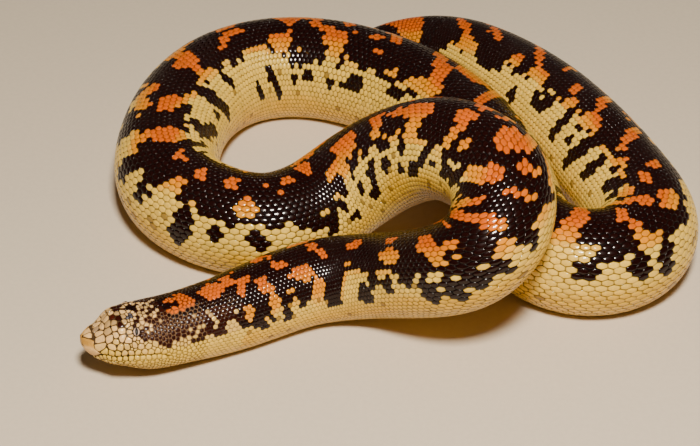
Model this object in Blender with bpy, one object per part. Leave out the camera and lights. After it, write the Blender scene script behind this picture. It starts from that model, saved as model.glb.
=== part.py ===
"""A sand boa resting in a loose double coil: a still, life-size animal model.

The animal is one long body laid along a route over the floor. The route gives
the plan position and the height of the belly above the floor, so the lengths
that lie on the floor have a flat belly at exactly z = 0 and the loop that
crosses over the others is carried above them. The body is divided into named
lengths by thin cuts across it, and each eye is a ball in its own socket.

Sizes are in millimetres and turn into metres when a mesh is made.
Distances along the body start at the tip of the snout.
"""

import bmesh
import bpy
import numpy as np

MM = 0.001
UP = np.array([0.0, 0.0, 1.0])

# ---------------------------------------------------------------- the route

# Plan position of the body axis, and height of the belly above the floor.
NECK_REACH = [
    (-76.5, -75.0, 4.8),
    (-54.0, -67.5, 2.0),
    (-29.5, -55.0, 0.0),
    (-5.0, -44.5, 1.0),
]
RAISED_LOOP = [
    (9.0, -48.0, 5.0),
    (24.0, -57.5, 13.0),
    (37.0, -60.5, 20.5),
    (44.0, -51.5, 27.0),
    (42.5, -39.0, 32.0),
    (31.0, -22.0, 29.5),
    (16.5, -11.0, 20.0),
    (2.5, -8.5, 9.5),
    (-11.5, -14.5, 1.5),
]
LEFT_LOOP = [
    (-25.0, -20.0, 0.0),
    (-42.0, -15.5, 0.0),
    (-56.0, -0.5, 0.0),
    (-58.5, 23.0, 0.0),
    (-53.0, 47.0, 0.0),
    (-38.5, 65.5, 0.0),
    (-18.0, 71.0, 0.0),
    (3.0, 65.0, 0.0),
]
UNDERPASS = [
    (19.0, 54.0, 0.0),
    (33.5, 36.5, 0.0),
    (44.5, 13.0, 0.0),
    (49.5, -10.5, 0.0),
    (56.0, -31.0, 0.0),
]
RIGHT_LOOP = [
    (71.5, -39.5, 0.0),
    (85.5, -33.5, 0.0),
    (90.5, -22.0, 0.0),
    (86.5, -1.5, 0.0),
    (77.5, 23.0, 0.0),
]
TAIL_REACH = [
    (63.5, 52.5, 0.0),
    (47.5, 77.0, 0.0),
    (30.5, 95.0, 0.0),
    (15.5, 100.0, 0.0),
    (-8.5, 93.5, 0.0),
]
ROUTE = NECK_REACH + RAISED_LOOP + LEFT_LOOP + UNDERPASS + RIGHT_LOOP + TAIL_REACH
ROUTE_TO_CENTRE = (-14.72, -13.38)  # puts the middle of the footprint at x = y = 0
SUPPLENESS = 11.0  # length over which each bend is eased into the next

# ---------------------------------------------------------------- the girth

# Distance along the body and radius there.
GIRTH = [
    (0.0, 10.0),
    (18.0, 9.5),
    (36.0, 10.9),
    (50.0, 11.8),
    (66.0, 12.4),
    (80.0, 12.7),
    (93.0, 12.6),
    (108.0, 13.0),
    (122.0, 13.9),
    (138.0, 15.0),
    (163.0, 15.4),
    (230.0, 15.8),
    (293.0, 16.6),
    (352.0, 17.2),
    (430.0, 17.2),
    (490.0, 16.6),
    (540.0, 16.1),
    (590.0, 16.3),
    (626.0, 15.8),
    (644.0, 15.2),
    (660.0, 14.3),
    (676.0, 12.9),
    (692.0, 10.8),
    (704.0, 8.8),
    (714.0, 6.9),
    (722.0, 5.0),
    (728.0, 3.2),
    (731.0, 1.9),
    (732.0, 0.9),
]
BELLY_DROP = 0.86  # the flat of the belly lies this share of the radius below the axis

# Distance from the snout, half width, crown above the axis, jaw below the axis.
HEAD_SHAPE = [
    (0.0, 1.7, 0.8, 0.7),
    (0.5, 2.7, 1.3, 1.9),
    (1.0, 3.4, 1.8, 2.5),
    (2.0, 4.4, 2.5, 3.4),
    (3.2, 5.2, 3.1, 4.5),
    (4.4, 5.9, 3.7, 5.4),
    (6.0, 7.2, 5.5, 5.8),
    (7.0, 8.1, 6.9, 6.1),
    (8.2, 8.9, 8.1, 6.3),
    (10.0, 9.5, 8.8, 6.6),
    (12.5, 10.0, 9.2, 7.3),
    (15.0, 10.5, 9.4, 8.2),
    (20.0, 11.0, 10.0, 9.4),
    (27.0, 11.0, 10.3, 9.9),
    (40.0, 11.2, 11.2, 11.2),
]
HEAD_BLEND = 40.0  # where the head's own shape has become the round body

# ---------------------------------------------------------------- the lengths

HEAD_LENGTH = 30.0
NECK_LENGTH = 46.0
# Each length of trunk bends by less than a right angle.
TRUNK_LENGTHS = [
    36.0,  # near side, starting to rise
    20.0,  # raised turn, first part
    20.0,  # raised turn, over the underpass
    26.0,  # raised turn, last part
    46.0,  # down to the floor again
    36.0,  # into the left loop
    36.0,
    44.0,  # far side of the left loop
    38.0,
    44.0,
    48.0,
    44.0,  # under the raised turn
    26.0,  # right turn, first part
    22.0,  # right turn, last part
    52.0,
    56.0,
]
CUT = 0.3  # width of the cut between one length and the next
SIDES = 24
RING_SPACING = 4.7
HEAD_RING_SPACING = 1.4

# ---------------------------------------------------------------- face details

EYE_RADIUS = 1.7
EYE_DISTANCE = 14.2  # from the snout, along the axis
EYE_ANGLE = 48.0  # degrees above the side of the head
EYE_SINK = 1.1  # centre of the ball below the surface of the head
SOCKET_CLEARANCE = 0.3
NOSTRIL_RADIUS = 0.45
NOSTRIL_DISTANCE = 3.4
NOSTRIL_ANGLE = 74.0
MOUTH_LINE = [  # distance from the snout, height from the axis
    (2.4, -1.6),
    (4.5, -0.1),
    (8.0, 0.6),
    (13.0, 0.8),
    (17.0, 0.4),
    (20.5, -0.4),
]
MOUTH_DEPTH = 0.6
MOUTH_GAPE = 0.3

HEAD_COLOUR = (0.52, 0.40, 0.20, 1.0)
BODY_COLOUR = (0.26, 0.13, 0.05, 1.0)
TAIL_COLOUR = (0.20, 0.10, 0.05, 1.0)
EYE_COLOUR = (0.35, 0.24, 0.16, 1.0)


def through(knots, values, queries):
    """A natural cubic curve through the values, one row for each query."""
    count = len(knots)
    step = np.diff(knots)
    system = np.eye(count)
    bend = np.zeros_like(values)
    for i in range(1, count - 1):
        system[i, i - 1 : i + 2] = step[i - 1], 2 * (step[i - 1] + step[i]), step[i]
        slopes = (values[i + 1] - values[i]) / step[i], (values[i] - values[i - 1]) / step[i - 1]
        bend[i] = 6 * (slopes[0] - slopes[1])
    bend = np.linalg.solve(system, bend)
    left = np.clip(np.searchsorted(knots, queries) - 1, 0, count - 2)
    width = step[left][:, None]
    near = (knots[left + 1] - queries)[:, None] / width
    far = 1 - near
    curve = (near**3 - near) * bend[left] + (far**3 - far) * bend[left + 1]
    return near * values[left] + far * values[left + 1] + curve * width * width / 6


def profile(table, queries, column=1):
    """A smooth profile through a column of the table, that never overshoots it."""
    knots = np.array([row[0] for row in table])
    values = np.array([row[column] for row in table])
    step = np.diff(knots)
    slope = np.diff(values) / step
    lean = np.zeros_like(values)
    lean[0], lean[-1] = slope[0], slope[-1]
    for i in range(1, len(values) - 1):
        if slope[i - 1] * slope[i] > 0:
            lean[i] = 2 * slope[i - 1] * slope[i] / (slope[i - 1] + slope[i])
    queries = np.clip(queries, knots[0], knots[-1])
    left = np.clip(np.searchsorted(knots, queries) - 1, 0, len(knots) - 2)
    width = step[left]
    x = (queries - knots[left]) / width
    start = (2 * x**3 - 3 * x**2 + 1) * values[left] + (x**3 - 2 * x**2 + x) * width * lean[left]
    end = (3 * x**2 - 2 * x**3) * values[left + 1] + (x**3 - x**2) * width * lean[left + 1]
    return start + end


class Route:
    """The line that the body follows: plan position and belly height by distance."""

    def __init__(self, stops, steps=4000):
        stops = np.array(stops)
        chords = np.cumsum(np.linalg.norm(np.diff(stops, axis=0), axis=1))
        knots = np.concatenate([[0.0], chords])
        at = np.linspace(0.0, knots[-1], steps + 1)
        plan = through(knots, stops[:, :2], at)
        lift = profile(list(zip(knots, stops[:, 2])), at)
        line = np.column_stack([plan, lift])
        for _ in range(2):
            line = eased(line, int(SUPPLENESS * steps / knots[-1]) // 2)
        line[:, :2] += ROUTE_TO_CENTRE
        line[:, 2] = np.maximum(line[:, 2], 0.0)
        self.line = line
        self.distance = np.concatenate(
            [[0.0], np.cumsum(np.linalg.norm(np.diff(line, axis=0), axis=1))]
        )
        self.length = self.distance[-1]

    def point(self, distances):
        return np.column_stack(
            [np.interp(distances, self.distance, self.line[:, axis]) for axis in range(3)]
        )

    def frame(self, distances):
        """Axis points, sideways vectors (the animal's left) and upward vectors."""
        ahead = np.clip(distances - 0.5, 0.0, self.length)
        behind = np.clip(distances + 0.5, 0.0, self.length)
        along = self.point(behind) - self.point(ahead)
        along /= np.linalg.norm(along, axis=1)[:, None]
        left = np.cross(along, UP)
        left /= np.linalg.norm(left, axis=1)[:, None]
        drop = BELLY_DROP * profile(GIRTH, distances)
        return self.point(distances) + drop[:, None] * UP, left, np.cross(left, along)


def eased(line, reach):
    """Each point becomes the mean of its neighbours within reach on both sides."""
    wide = np.pad(line, ((reach, reach), (0, 0)), mode="reflect", reflect_type="odd")
    total = np.cumsum(np.vstack([np.zeros((1, line.shape[1])), wide]), axis=0)
    window = 2 * reach + 1
    return (total[window:] - total[:-window]) / window


def half_sizes(distances):
    """Half width, height above the axis and depth below it."""
    radius = profile(GIRTH, distances)
    in_head = distances < HEAD_BLEND
    return [
        np.where(in_head, profile(HEAD_SHAPE, distances, column), radius) for column in (1, 2, 3)
    ]


def surface(route, distances, angles):
    """Points of the body: an oval section with the belly levelled off."""
    centre, left, up = route.frame(distances)
    wide, crown, jaw = half_sizes(distances)
    rise = np.sin(angles)
    height = np.where(rise > 0, crown * rise, jaw * rise)
    height = np.maximum(height, -BELLY_DROP * profile(GIRTH, distances))
    return centre + left * (wide * np.cos(angles))[:, None] + up * height[:, None]


def ring(route, distance):
    angles = np.arange(SIDES) * (2 * np.pi / SIDES)
    return surface(route, np.full(SIDES, distance), angles)


def make_material(name, colour, roughness):
    material = bpy.data.materials.new(name)
    material.use_nodes = True
    shader = material.node_tree.nodes["Principled BSDF"]
    shader.inputs["Base Color"].default_value = colour
    shader.inputs["Roughness"].default_value = roughness
    return material


def loft(name, rings, collection):
    """One closed solid through rings of points, with flat ends."""
    count = len(rings[0])
    points = [tuple(point * MM) for one in rings for point in one]
    faces = [tuple(range(count)), tuple(range(len(points) - count, len(points)))]
    for start in range(0, len(points) - count, count):
        for i in range(count):
            j = (i + 1) % count
            faces.append((start + i, start + j, start + count + j, start + count + i))
    mesh = bpy.data.meshes.new(name)
    mesh.from_pydata(points, [], faces)
    work = bmesh.new()
    work.from_mesh(mesh)
    bmesh.ops.recalc_face_normals(work, faces=work.faces)
    work.to_mesh(mesh)
    work.free()
    solid = bpy.data.objects.new(name, mesh)
    collection.objects.link(solid)
    return solid


def ball(name, centre, radius, collection, segments=16, rings=10):
    mesh = bpy.data.meshes.new(name)
    work = bmesh.new()
    bmesh.ops.create_uvsphere(work, u_segments=segments, v_segments=rings, radius=radius * MM)
    work.to_mesh(mesh)
    work.free()
    solid = bpy.data.objects.new(name, mesh)
    solid.location = centre * MM
    collection.objects.link(solid)
    return solid


def cut(solid, cutter):
    cutter.hide_render = True
    cutter.display_type = "WIRE"
    modifier = solid.modifiers.new("cut_" + cutter.name, "BOOLEAN")
    modifier.operation = "DIFFERENCE"
    modifier.solver = "EXACT"
    modifier.object = cutter


def sunk(route, distance, degrees, depth):
    """A point under the surface of the head, straight in from the given angle."""
    angle = np.radians(degrees)
    around = np.array([angle - 0.02, angle, angle + 0.02, angle])
    along = np.array([distance, distance - 0.2, distance, distance + 0.2])
    low, front, high, back = surface(route, along, around)
    inward = np.cross(high - low, back - front)
    inward /= np.linalg.norm(inward)
    spot = surface(route, np.array([distance]), np.array([angle]))[0]
    centre = route.frame(np.array([distance]))[0][0]
    if np.dot(inward, centre - spot) < 0:
        inward = -inward
    return spot + inward * depth


def mouth_groove(route, side, collection):
    """A thin bar swept along the lips, to cut the line of the closed mouth."""
    rings = []
    for distance in np.linspace(MOUTH_LINE[0][0], MOUTH_LINE[-1][0], 12):
        here = np.array([distance])
        centre, left, up = (value[0] for value in route.frame(here))
        level = profile(MOUTH_LINE, here)[0]
        wide, crown, jaw = (value[0] for value in half_sizes(here))
        tall = crown if level > 0 else jaw
        lip = wide * np.sqrt(1 - (level / tall) ** 2)
        corners = [
            (lip - MOUTH_DEPTH, -MOUTH_GAPE / 2),
            (lip + 2.0, -MOUTH_GAPE / 2),
            (lip + 2.0, MOUTH_GAPE / 2),
            (lip - MOUTH_DEPTH, MOUTH_GAPE / 2),
        ]
        rings.append(
            np.array([centre + side * left * out + up * (level + high) for out, high in corners])
        )
    name = "mouth_groove_left" if side > 0 else "mouth_groove_right"
    return loft(name, rings, collection)


def add_face(route, head, animal, cutters):
    for side, name in ((1, "left"), (-1, "right")):
        turn = EYE_ANGLE if side > 0 else 180 - EYE_ANGLE
        centre = sunk(route, EYE_DISTANCE, turn, EYE_SINK)
        socket = ball("socket_" + name, centre, EYE_RADIUS + SOCKET_CLEARANCE, cutters)
        eye = ball("eye_" + name, centre, EYE_RADIUS, animal)
        eye.data.materials.append(make_material(eye.name + "_cornea", EYE_COLOUR, 0.08))
        turn = NOSTRIL_ANGLE if side > 0 else 180 - NOSTRIL_ANGLE
        spot = sunk(route, NOSTRIL_DISTANCE, turn, 0.1)
        nostril = ball("nostril_" + name, spot, NOSTRIL_RADIUS, cutters, 10, 6)
        cut(head, socket)
        cut(head, nostril)
        cut(head, mouth_groove(route, side, cutters))


def length_plan(route):
    """Name, start and end of each length of the body, from the snout."""
    lengths = [("head", HEAD_LENGTH), ("neck", NECK_LENGTH)]
    lengths += [(f"trunk_{i:02d}", size) for i, size in enumerate(TRUNK_LENGTHS, 1)]
    start = 0.0
    for name, size in lengths:
        yield name, start, start + size
        start += size
    yield "tail", start, route.length


def main():
    for thing in list(bpy.data.objects):
        bpy.data.objects.remove(thing)
    animal = bpy.data.collections.new("sand_boa")
    cutters = bpy.data.collections.new("cutters")
    for collection in (animal, cutters):
        bpy.context.scene.collection.children.link(collection)

    route = Route(ROUTE)
    colours = {"head": HEAD_COLOUR, "tail": TAIL_COLOUR}
    for name, start, end in length_plan(route):
        first = start + CUT / 2 if start > 0 else 0.0
        last = end - CUT / 2 if end < route.length else end
        if name == "head":
            opening = np.array([row[0] for row in HEAD_SHAPE[:5]])
            steps = int((last - opening[-1]) / HEAD_RING_SPACING)
            stations = np.concatenate([opening, np.linspace(opening[-1], last, steps + 1)[1:]])
        elif name == "tail":
            closing = np.array([row[0] for row in GIRTH[-5:]])
            steps = int((closing[0] - first) / RING_SPACING)
            stations = np.concatenate([np.linspace(first, closing[0], steps + 1), closing[1:]])
        else:
            stations = np.linspace(first, last, max(4, round((last - first) / RING_SPACING)) + 1)
        solid = loft(name, [ring(route, station) for station in stations], animal)
        colour = colours.get(name, BODY_COLOUR)
        solid.data.materials.append(make_material(name + "_skin", colour, 0.3))
        if name == "head":
            add_face(route, solid, animal, cutters)


main()
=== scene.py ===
"""A sand boa resting in a loose double coil, life-size, as a museum would show it.

One closed skin covers the whole animal. Small domed scales lie on it in slanting
rows, wide plates cross the belly, and irregular plates cover the head. The skin
and every scale take their colours from the same markings.

Sizes are in millimetres, and turn into metres when a mesh is made. Distances
along the body start at the tip of the snout. A turn is the angle round the body
from the middle of the back, positive on the animal's left, and a share is the
same thing as a part of half the girth: 0 on the back, 1 or -1 under the belly.
"""

import logging
import math
from collections.abc import Callable
from dataclasses import dataclass, field
from enum import Enum, IntEnum

import bpy
import numpy as np
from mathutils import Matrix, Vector


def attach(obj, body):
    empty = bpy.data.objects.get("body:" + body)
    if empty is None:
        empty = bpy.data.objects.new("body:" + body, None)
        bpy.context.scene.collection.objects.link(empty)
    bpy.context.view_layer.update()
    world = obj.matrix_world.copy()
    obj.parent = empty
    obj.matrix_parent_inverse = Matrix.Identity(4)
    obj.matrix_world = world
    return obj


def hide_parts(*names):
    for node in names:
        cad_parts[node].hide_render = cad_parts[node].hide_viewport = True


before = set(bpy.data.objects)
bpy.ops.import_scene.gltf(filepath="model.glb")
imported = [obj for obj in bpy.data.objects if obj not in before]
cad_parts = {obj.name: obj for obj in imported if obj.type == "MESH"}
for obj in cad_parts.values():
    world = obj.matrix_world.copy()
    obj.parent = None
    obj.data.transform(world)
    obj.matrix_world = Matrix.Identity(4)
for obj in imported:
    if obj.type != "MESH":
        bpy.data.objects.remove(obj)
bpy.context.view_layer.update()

log = logging.getLogger("sand_boa")

Array = np.ndarray
Pair = tuple[float, float]
Floats = tuple[float, ...]
Thing = bpy.types.Object
Material = bpy.types.Material
Socket = bpy.types.NodeSocket

MM = 0.001
UP = np.array([0.0, 0.0, 1.0])

# ---- the route, as in the part's source

# Plan position of the body axis, and height of the belly above the floor.
NECK_REACH = [(-76.5, -75, 4.8), (-54, -67.5, 2), (-29.5, -55, 0), (-5, -44.5, 1)]
RAISED_LOOP = [
    (9, -48, 5), (24, -57.5, 13), (37, -60.5, 20.5), (44, -51.5, 27), (42.5, -39, 32), (31, -22, 29.5),
    (16.5, -11, 20), (2.5, -8.5, 9.5), (-11.5, -14.5, 1.5),
]
LEFT_LOOP = [
    (-25, -20, 0), (-42, -15.5, 0), (-56, -0.5, 0), (-58.5, 23, 0), (-53, 47, 0), (-38.5, 65.5, 0),
    (-18, 71, 0), (3, 65, 0),
]
UNDERPASS = [(19, 54, 0), (33.5, 36.5, 0), (44.5, 13, 0), (49.5, -10.5, 0), (56, -31, 0)]
RIGHT_LOOP = [(71.5, -39.5, 0), (85.5, -33.5, 0), (90.5, -22, 0), (86.5, -1.5, 0), (77.5, 23, 0)]
TAIL_REACH = [(63.5, 52.5, 0), (47.5, 77, 0), (30.5, 95, 0), (15.5, 100, 0), (-8.5, 93.5, 0)]
ROUTE = NECK_REACH + RAISED_LOOP + LEFT_LOOP + UNDERPASS + RIGHT_LOOP + TAIL_REACH
ROUTE_TO_CENTRE = (-14.72, -13.38)
SUPPLENESS = 11.0  # length over which each bend is eased into the next

# Distance along the body and radius there.
GIRTH = [
    (0, 10), (18, 9.5), (36, 10.9), (50, 11.8), (66, 12.4), (80, 12.7), (93, 12.6), (108, 13),
    (122, 13.9), (138, 15), (163, 15.4), (230, 15.8), (293, 16.6), (352, 17.2), (430, 17.2), (490, 16.6),
    (540, 16.1), (590, 16.3), (626, 15.8), (644, 15.2), (660, 14.3), (676, 12.9), (692, 10.8),
    (704, 8.8), (714, 6.9), (722, 5), (728, 3.2), (731, 1.9), (732, 0.9),
]
BELLY_DROP = 0.86  # from the axis to the flat of the belly, in radii

# Distance from the snout, half width, crown above the axis, jaw below the axis.
HEAD_SHAPE = [
    (0, 1.7, 0.8, 0.7), (0.5, 2.7, 1.3, 1.9), (1, 3.4, 1.8, 2.5), (2, 4.4, 2.5, 3.4),
    (3.2, 5.2, 3.1, 4.5), (4.4, 5.9, 3.7, 5.4), (6, 7.2, 5.5, 5.8), (7, 8.1, 6.9, 6.1),
    (8.2, 8.9, 8.1, 6.3), (10, 9.5, 8.8, 6.6), (12.5, 10, 9.2, 7.3), (15, 10.5, 9.4, 8.2),
    (20, 11, 10, 9.4), (27, 11, 10.3, 9.9), (40, 11.2, 11.2, 11.2),
]
HEAD_BLEND = 40.0  # where the head's own shape has become the round body
END_CAP = 1.0  # the distance given to closing each end of the body


class Side(IntEnum):
    """The two sides of the animal; turns and shares are positive on its left."""

    LEFT = 1
    RIGHT = -1


def through(knots: Array, values: Array, queries: Array) -> Array:
    """Runs a natural cubic curve through rows of values.

    Args:
        knots: where each row of values stands.
        values: one row of coordinates for each knot.
        queries: where the curve is wanted.

    Returns:
        One row of coordinates for each query.
    """
    count = len(knots)
    step = np.diff(knots)
    system = np.eye(count)
    bend = np.zeros_like(values)
    for i in range(1, count - 1):
        system[i, i - 1 : i + 2] = step[i - 1], 2 * (step[i - 1] + step[i]), step[i]
        bend[i] = 6 * ((values[i + 1] - values[i]) / step[i] - (values[i] - values[i - 1]) / step[i - 1])
    bend = np.linalg.solve(system, bend)
    left = np.clip(np.searchsorted(knots, queries) - 1, 0, count - 2)
    width = step[left][:, None]
    near = (knots[left + 1] - queries)[:, None] / width
    far = 1 - near
    curve = (near**3 - near) * bend[left] + (far**3 - far) * bend[left + 1]
    return near * values[left] + far * values[left + 1] + curve * width * width / 6


def profile(table: list, queries: Array, column: int = 1) -> Array:
    """Reads a smooth curve through a column of a table, that never overshoots it.

    Args:
        table: rows that start with a distance.
        queries: the distances wanted.
        column: which entry of the rows is read.

    Returns:
        One value for each query.
    """
    knots = np.array([row[0] for row in table])
    values = np.array([row[column] for row in table])
    step = np.diff(knots)
    slope = np.diff(values) / step
    lean = np.zeros_like(values)
    lean[0], lean[-1] = slope[0], slope[-1]
    for i in range(1, len(values) - 1):
        if slope[i - 1] * slope[i] > 0:
            lean[i] = 2 * slope[i - 1] * slope[i] / (slope[i - 1] + slope[i])
    queries = np.clip(queries, knots[0], knots[-1])
    left = np.clip(np.searchsorted(knots, queries) - 1, 0, len(knots) - 2)
    width = step[left]
    x = (queries - knots[left]) / width
    start = (2 * x**3 - 3 * x**2 + 1) * values[left] + (x**3 - 2 * x**2 + x) * width * lean[left]
    end = (3 * x**2 - 2 * x**3) * values[left + 1] + (x**3 - x**2) * width * lean[left + 1]
    return start + end


def eased(line: Array, reach: int) -> Array:
    """Makes each point the mean of its neighbours.

    Args:
        line: the points in order.
        reach: how many neighbours count on each side.

    Returns:
        As many points, in a smoother line.
    """
    wide = np.pad(line, ((reach, reach), (0, 0)), mode="reflect", reflect_type="odd")
    total = np.cumsum(np.vstack([np.zeros((1, line.shape[1])), wide]), axis=0)
    window = 2 * reach + 1
    return (total[window:] - total[:-window]) / window


def fade(value: Array, start: float, end: float) -> Array:
    """Rises smoothly from 0 at start to 1 at end."""
    x = np.clip((value - start) / (end - start), 0.0, 1.0)
    return x * x * (3 - 2 * x)


def mixed(first: Array, second: Array, share: Array) -> Array:
    """Goes from first, where the share is 0, to second, where it is 1."""
    return first * (1 - share) + second * share


def toned(first: Array, second: Array, share: Array) -> Array:
    """Mixes colours, with one share for each place."""
    return mixed(first, second, share[:, None])


def gone_by(points: Array) -> Array:
    """How far along a line of points each of them is."""
    return np.concatenate([[0.0], np.cumsum(np.linalg.norm(np.diff(points, axis=0), axis=1))])


def dots(first: Array, second: Array) -> Array:
    """How far rows of vectors go in rows of directions."""
    return np.sum(first * second, axis=1)


def unit(vectors: Array) -> Array:
    """Rows of vectors brought to length one."""
    return vectors / np.maximum(np.linalg.norm(vectors, axis=1), 1e-9)[:, None]


def distance_to(points: Array, line: Array) -> Array:
    """How far points are from the nearest point of a line."""
    return np.linalg.norm(points[:, None] - line[None], axis=2).min(axis=1)


def ripple(x: Array, y: Array, seed: float) -> Array:
    """Smooth noise between -1 and 1, with features about one unit across.

    Args:
        x, y: the places.
        seed: the number of the pattern.

    Returns:
        Their values.
    """
    left, low = np.floor(x), np.floor(y)
    across, upward = fade(x - left, 0, 1), fade(y - low, 0, 1)

    def corner(column: Array, row: Array) -> Array:
        """The fixed value at a corner of the lattice."""
        value = np.sin(column * 12.9898 + row * 78.233 + seed * 37.719) * 43758.5453
        return 2 * (value - np.floor(value)) - 1

    bottom = mixed(corner(left, low), corner(left + 1, low), across)
    top = mixed(corner(left, low + 1), corner(left + 1, low + 1), across)
    return mixed(bottom, top, upward)


class Route:
    """The line that the body follows: plan position and belly height by distance."""

    STEPS = 4000

    def __init__(self, stops: list) -> None:
        """Lays the line.

        Args:
            stops: plan position and belly height of each point of the route.
        """
        stops = np.array(stops)
        knots = gone_by(stops)
        at = np.linspace(0.0, knots[-1], self.STEPS + 1)
        lift = profile(list(zip(knots, stops[:, 2])), at)
        line = np.column_stack([through(knots, stops[:, :2], at), lift])
        for _ in range(2):
            line = eased(line, int(SUPPLENESS * self.STEPS / knots[-1]) // 2)
        line[:, :2] += ROUTE_TO_CENTRE
        line[:, 2] = np.maximum(line[:, 2], 0.0)
        self.line = line
        self.distance = gone_by(line)
        self.length = float(self.distance[-1])

    def point(self, distances: Array) -> Array:
        """Points of the line at the distances."""
        return np.column_stack([np.interp(distances, self.distance, axis) for axis in self.line.T])

    def frame(self, distances: Array) -> tuple[Array, Array, Array]:
        """Stands a frame on the line at each distance.

        Args:
            distances: how far along the line.

        Returns:
            Axis points, sideways vectors (the animal's left) and upward vectors.
        """
        ahead = np.clip(distances - 0.5, 0.0, self.length)
        behind = np.clip(distances + 0.5, 0.0, self.length)
        along = unit(self.point(behind) - self.point(ahead))
        left = unit(np.cross(along, UP))
        drop = BELLY_DROP * profile(GIRTH, distances)
        return self.point(distances) + drop[:, None] * UP, left, np.cross(left, along)


# ---- the surface of the body


class Body:
    """The outer surface of the animal, reached by distance and share of the girth."""

    ROW = 0.1  # spacing of the stored cross-sections
    SLICE = 0.5  # spacing of the stored girth tables
    SHARES = 96
    PROBE = 0.15  # how far to each side a slope is felt

    def __init__(self, route: Route) -> None:
        """Stores the cross-sections and the girths of the body along the route."""
        self.length = route.length
        at = np.arange(0.0, route.length + self.ROW, self.ROW)
        centre, left, up = route.frame(at)
        drop = BELLY_DROP * profile(GIRTH, at)
        self.rows = np.column_stack([centre, left, up, *self.half_sizes(at), drop])
        at = np.arange(0.0, route.length + self.SLICE, self.SLICE)
        wide, crown, jaw = (size[:, None] for size in self.half_sizes(at))
        drop = BELLY_DROP * profile(GIRTH, at)[:, None]
        turns = np.linspace(0.0, 180.0, 181)
        angles = np.radians(90.0 - turns)[None, :]
        height = np.maximum(np.where(angles > 0, crown, jaw) * np.sin(angles), -drop)
        edge = np.hypot(np.diff(wide * np.cos(angles), axis=1), np.diff(height, axis=1))
        gone = np.concatenate([np.zeros((len(at), 1)), np.cumsum(edge, axis=1)], axis=1)
        self.half_girths = gone[:, -1]
        self.share_by_turn = gone / gone[:, -1:]
        even = np.linspace(0.0, 1.0, self.SHARES + 1)
        self.turn_by_share = np.array([np.interp(even, row, turns) for row in self.share_by_turn])

    @staticmethod
    def half_sizes(at: Array) -> list[Array]:
        """Half width, height above the axis and depth below it."""
        radius = profile(GIRTH, at)
        return [np.where(at < HEAD_BLEND, profile(HEAD_SHAPE, at, column), radius) for column in (1, 2, 3)]

    @staticmethod
    def _table(table: Array, row: Array, column: Array) -> Array:
        """Reads a table between its entries.

        Args:
            table: the entries.
            row, column: the places wanted, in whole numbers or between them.

        Returns:
            The values.
        """
        r = np.clip(row.astype(int), 0, table.shape[0] - 2)
        c = np.clip(column.astype(int), 0, table.shape[1] - 2)
        down, over = np.clip(row - r, 0, 1), np.clip(column - c, 0, 1)
        first = mixed(table[r, c], table[r, c + 1], over)
        return mixed(first, mixed(table[r + 1, c], table[r + 1, c + 1], over), down)

    def half_girth(self, along: Array) -> Array:
        """Length over the surface from the middle of the back to the middle of the belly."""
        at = np.arange(len(self.half_girths)) * self.SLICE
        return np.interp(along, at, self.half_girths)

    def girth_at(self, along: float) -> float:
        """The half girth at a single distance."""
        return float(self.half_girth(np.array([along]))[0])

    def turn(self, along: Array, share: Array) -> Array:
        """The turn from the back, in degrees, of a share of the girth."""
        size = self._table(self.turn_by_share, along / self.SLICE, np.abs(share) * self.SHARES)
        return np.sign(share) * size

    def share(self, along: Array, turn: Array) -> Array:
        """The share of the girth at a turn from the back, in degrees."""
        along, turn = np.broadcast_arrays(np.asarray(along, float), np.asarray(turn, float))
        return np.sign(turn) * self._table(self.share_by_turn, along / self.SLICE, np.abs(turn))

    def spot(self, along: Array, share: Array) -> Array:
        """Points of the outer surface, which closes over both ends.

        Args:
            along, share: distances and shares of the places.

        Returns:
            The points.
        """
        inside = np.clip(along, 0.0, self.length)
        shrink = np.clip(1 - np.abs(along - inside) / END_CAP, 0.0, 1.0)
        share = (share + 1) % 2 - 1
        angle = np.radians(90.0 - np.abs(self.turn(inside, share)))
        place = inside / self.ROW
        low = np.clip(place.astype(int), 0, len(self.rows) - 2)
        row = toned(self.rows[low], self.rows[low + 1], place - low)
        centre, left, up, (wide, crown, jaw, drop) = row[:, 0:3], row[:, 3:6], row[:, 6:9], row[:, 9:].T
        side = np.where(share < 0, -1, 1) * wide * np.cos(angle) * shrink
        height = np.maximum(np.where(angle > 0, crown, jaw) * np.sin(angle), -drop) * shrink
        return centre + left * side[:, None] + up * height[:, None]

    def place(self, along: Array, share: Array) -> tuple[Array, Array, Array]:
        """Points of the outer surface with what surrounds them.

        Args:
            along, share: distances and shares of the places.

        Returns:
            The points, the outward normals, and how far the bend of the axis stretches
            the surface there.
        """
        over = self.PROBE / self.half_girth(along)
        ahead = self.spot(along + self.PROBE, share) - self.spot(along - self.PROBE, share)
        around = self.spot(along, share + over) - self.spot(along, share - over)
        stretch = np.linalg.norm(ahead, axis=1) / (2 * self.PROBE)
        return self.spot(along, share), unit(np.cross(around, ahead)), stretch

    def axes(self, along: Array, share: Array, probe: float = PROBE) -> tuple[Array, Array, Array, Array]:
        """Points of the outer surface with three directions at each.

        Args:
            along, share: distances and shares of the places.
            probe: how far to each side the slope is felt.

        Returns:
            The points, and the directions tailwards, round the body and outwards.
        """
        spot, normal, _ = self.place(along, share)
        tailward = self.spot(along + probe, share) - self.spot(along - probe, share)
        tailward = unit(tailward - normal * dots(tailward, normal)[:, None])
        return spot, tailward, np.cross(normal, tailward), normal


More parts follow.
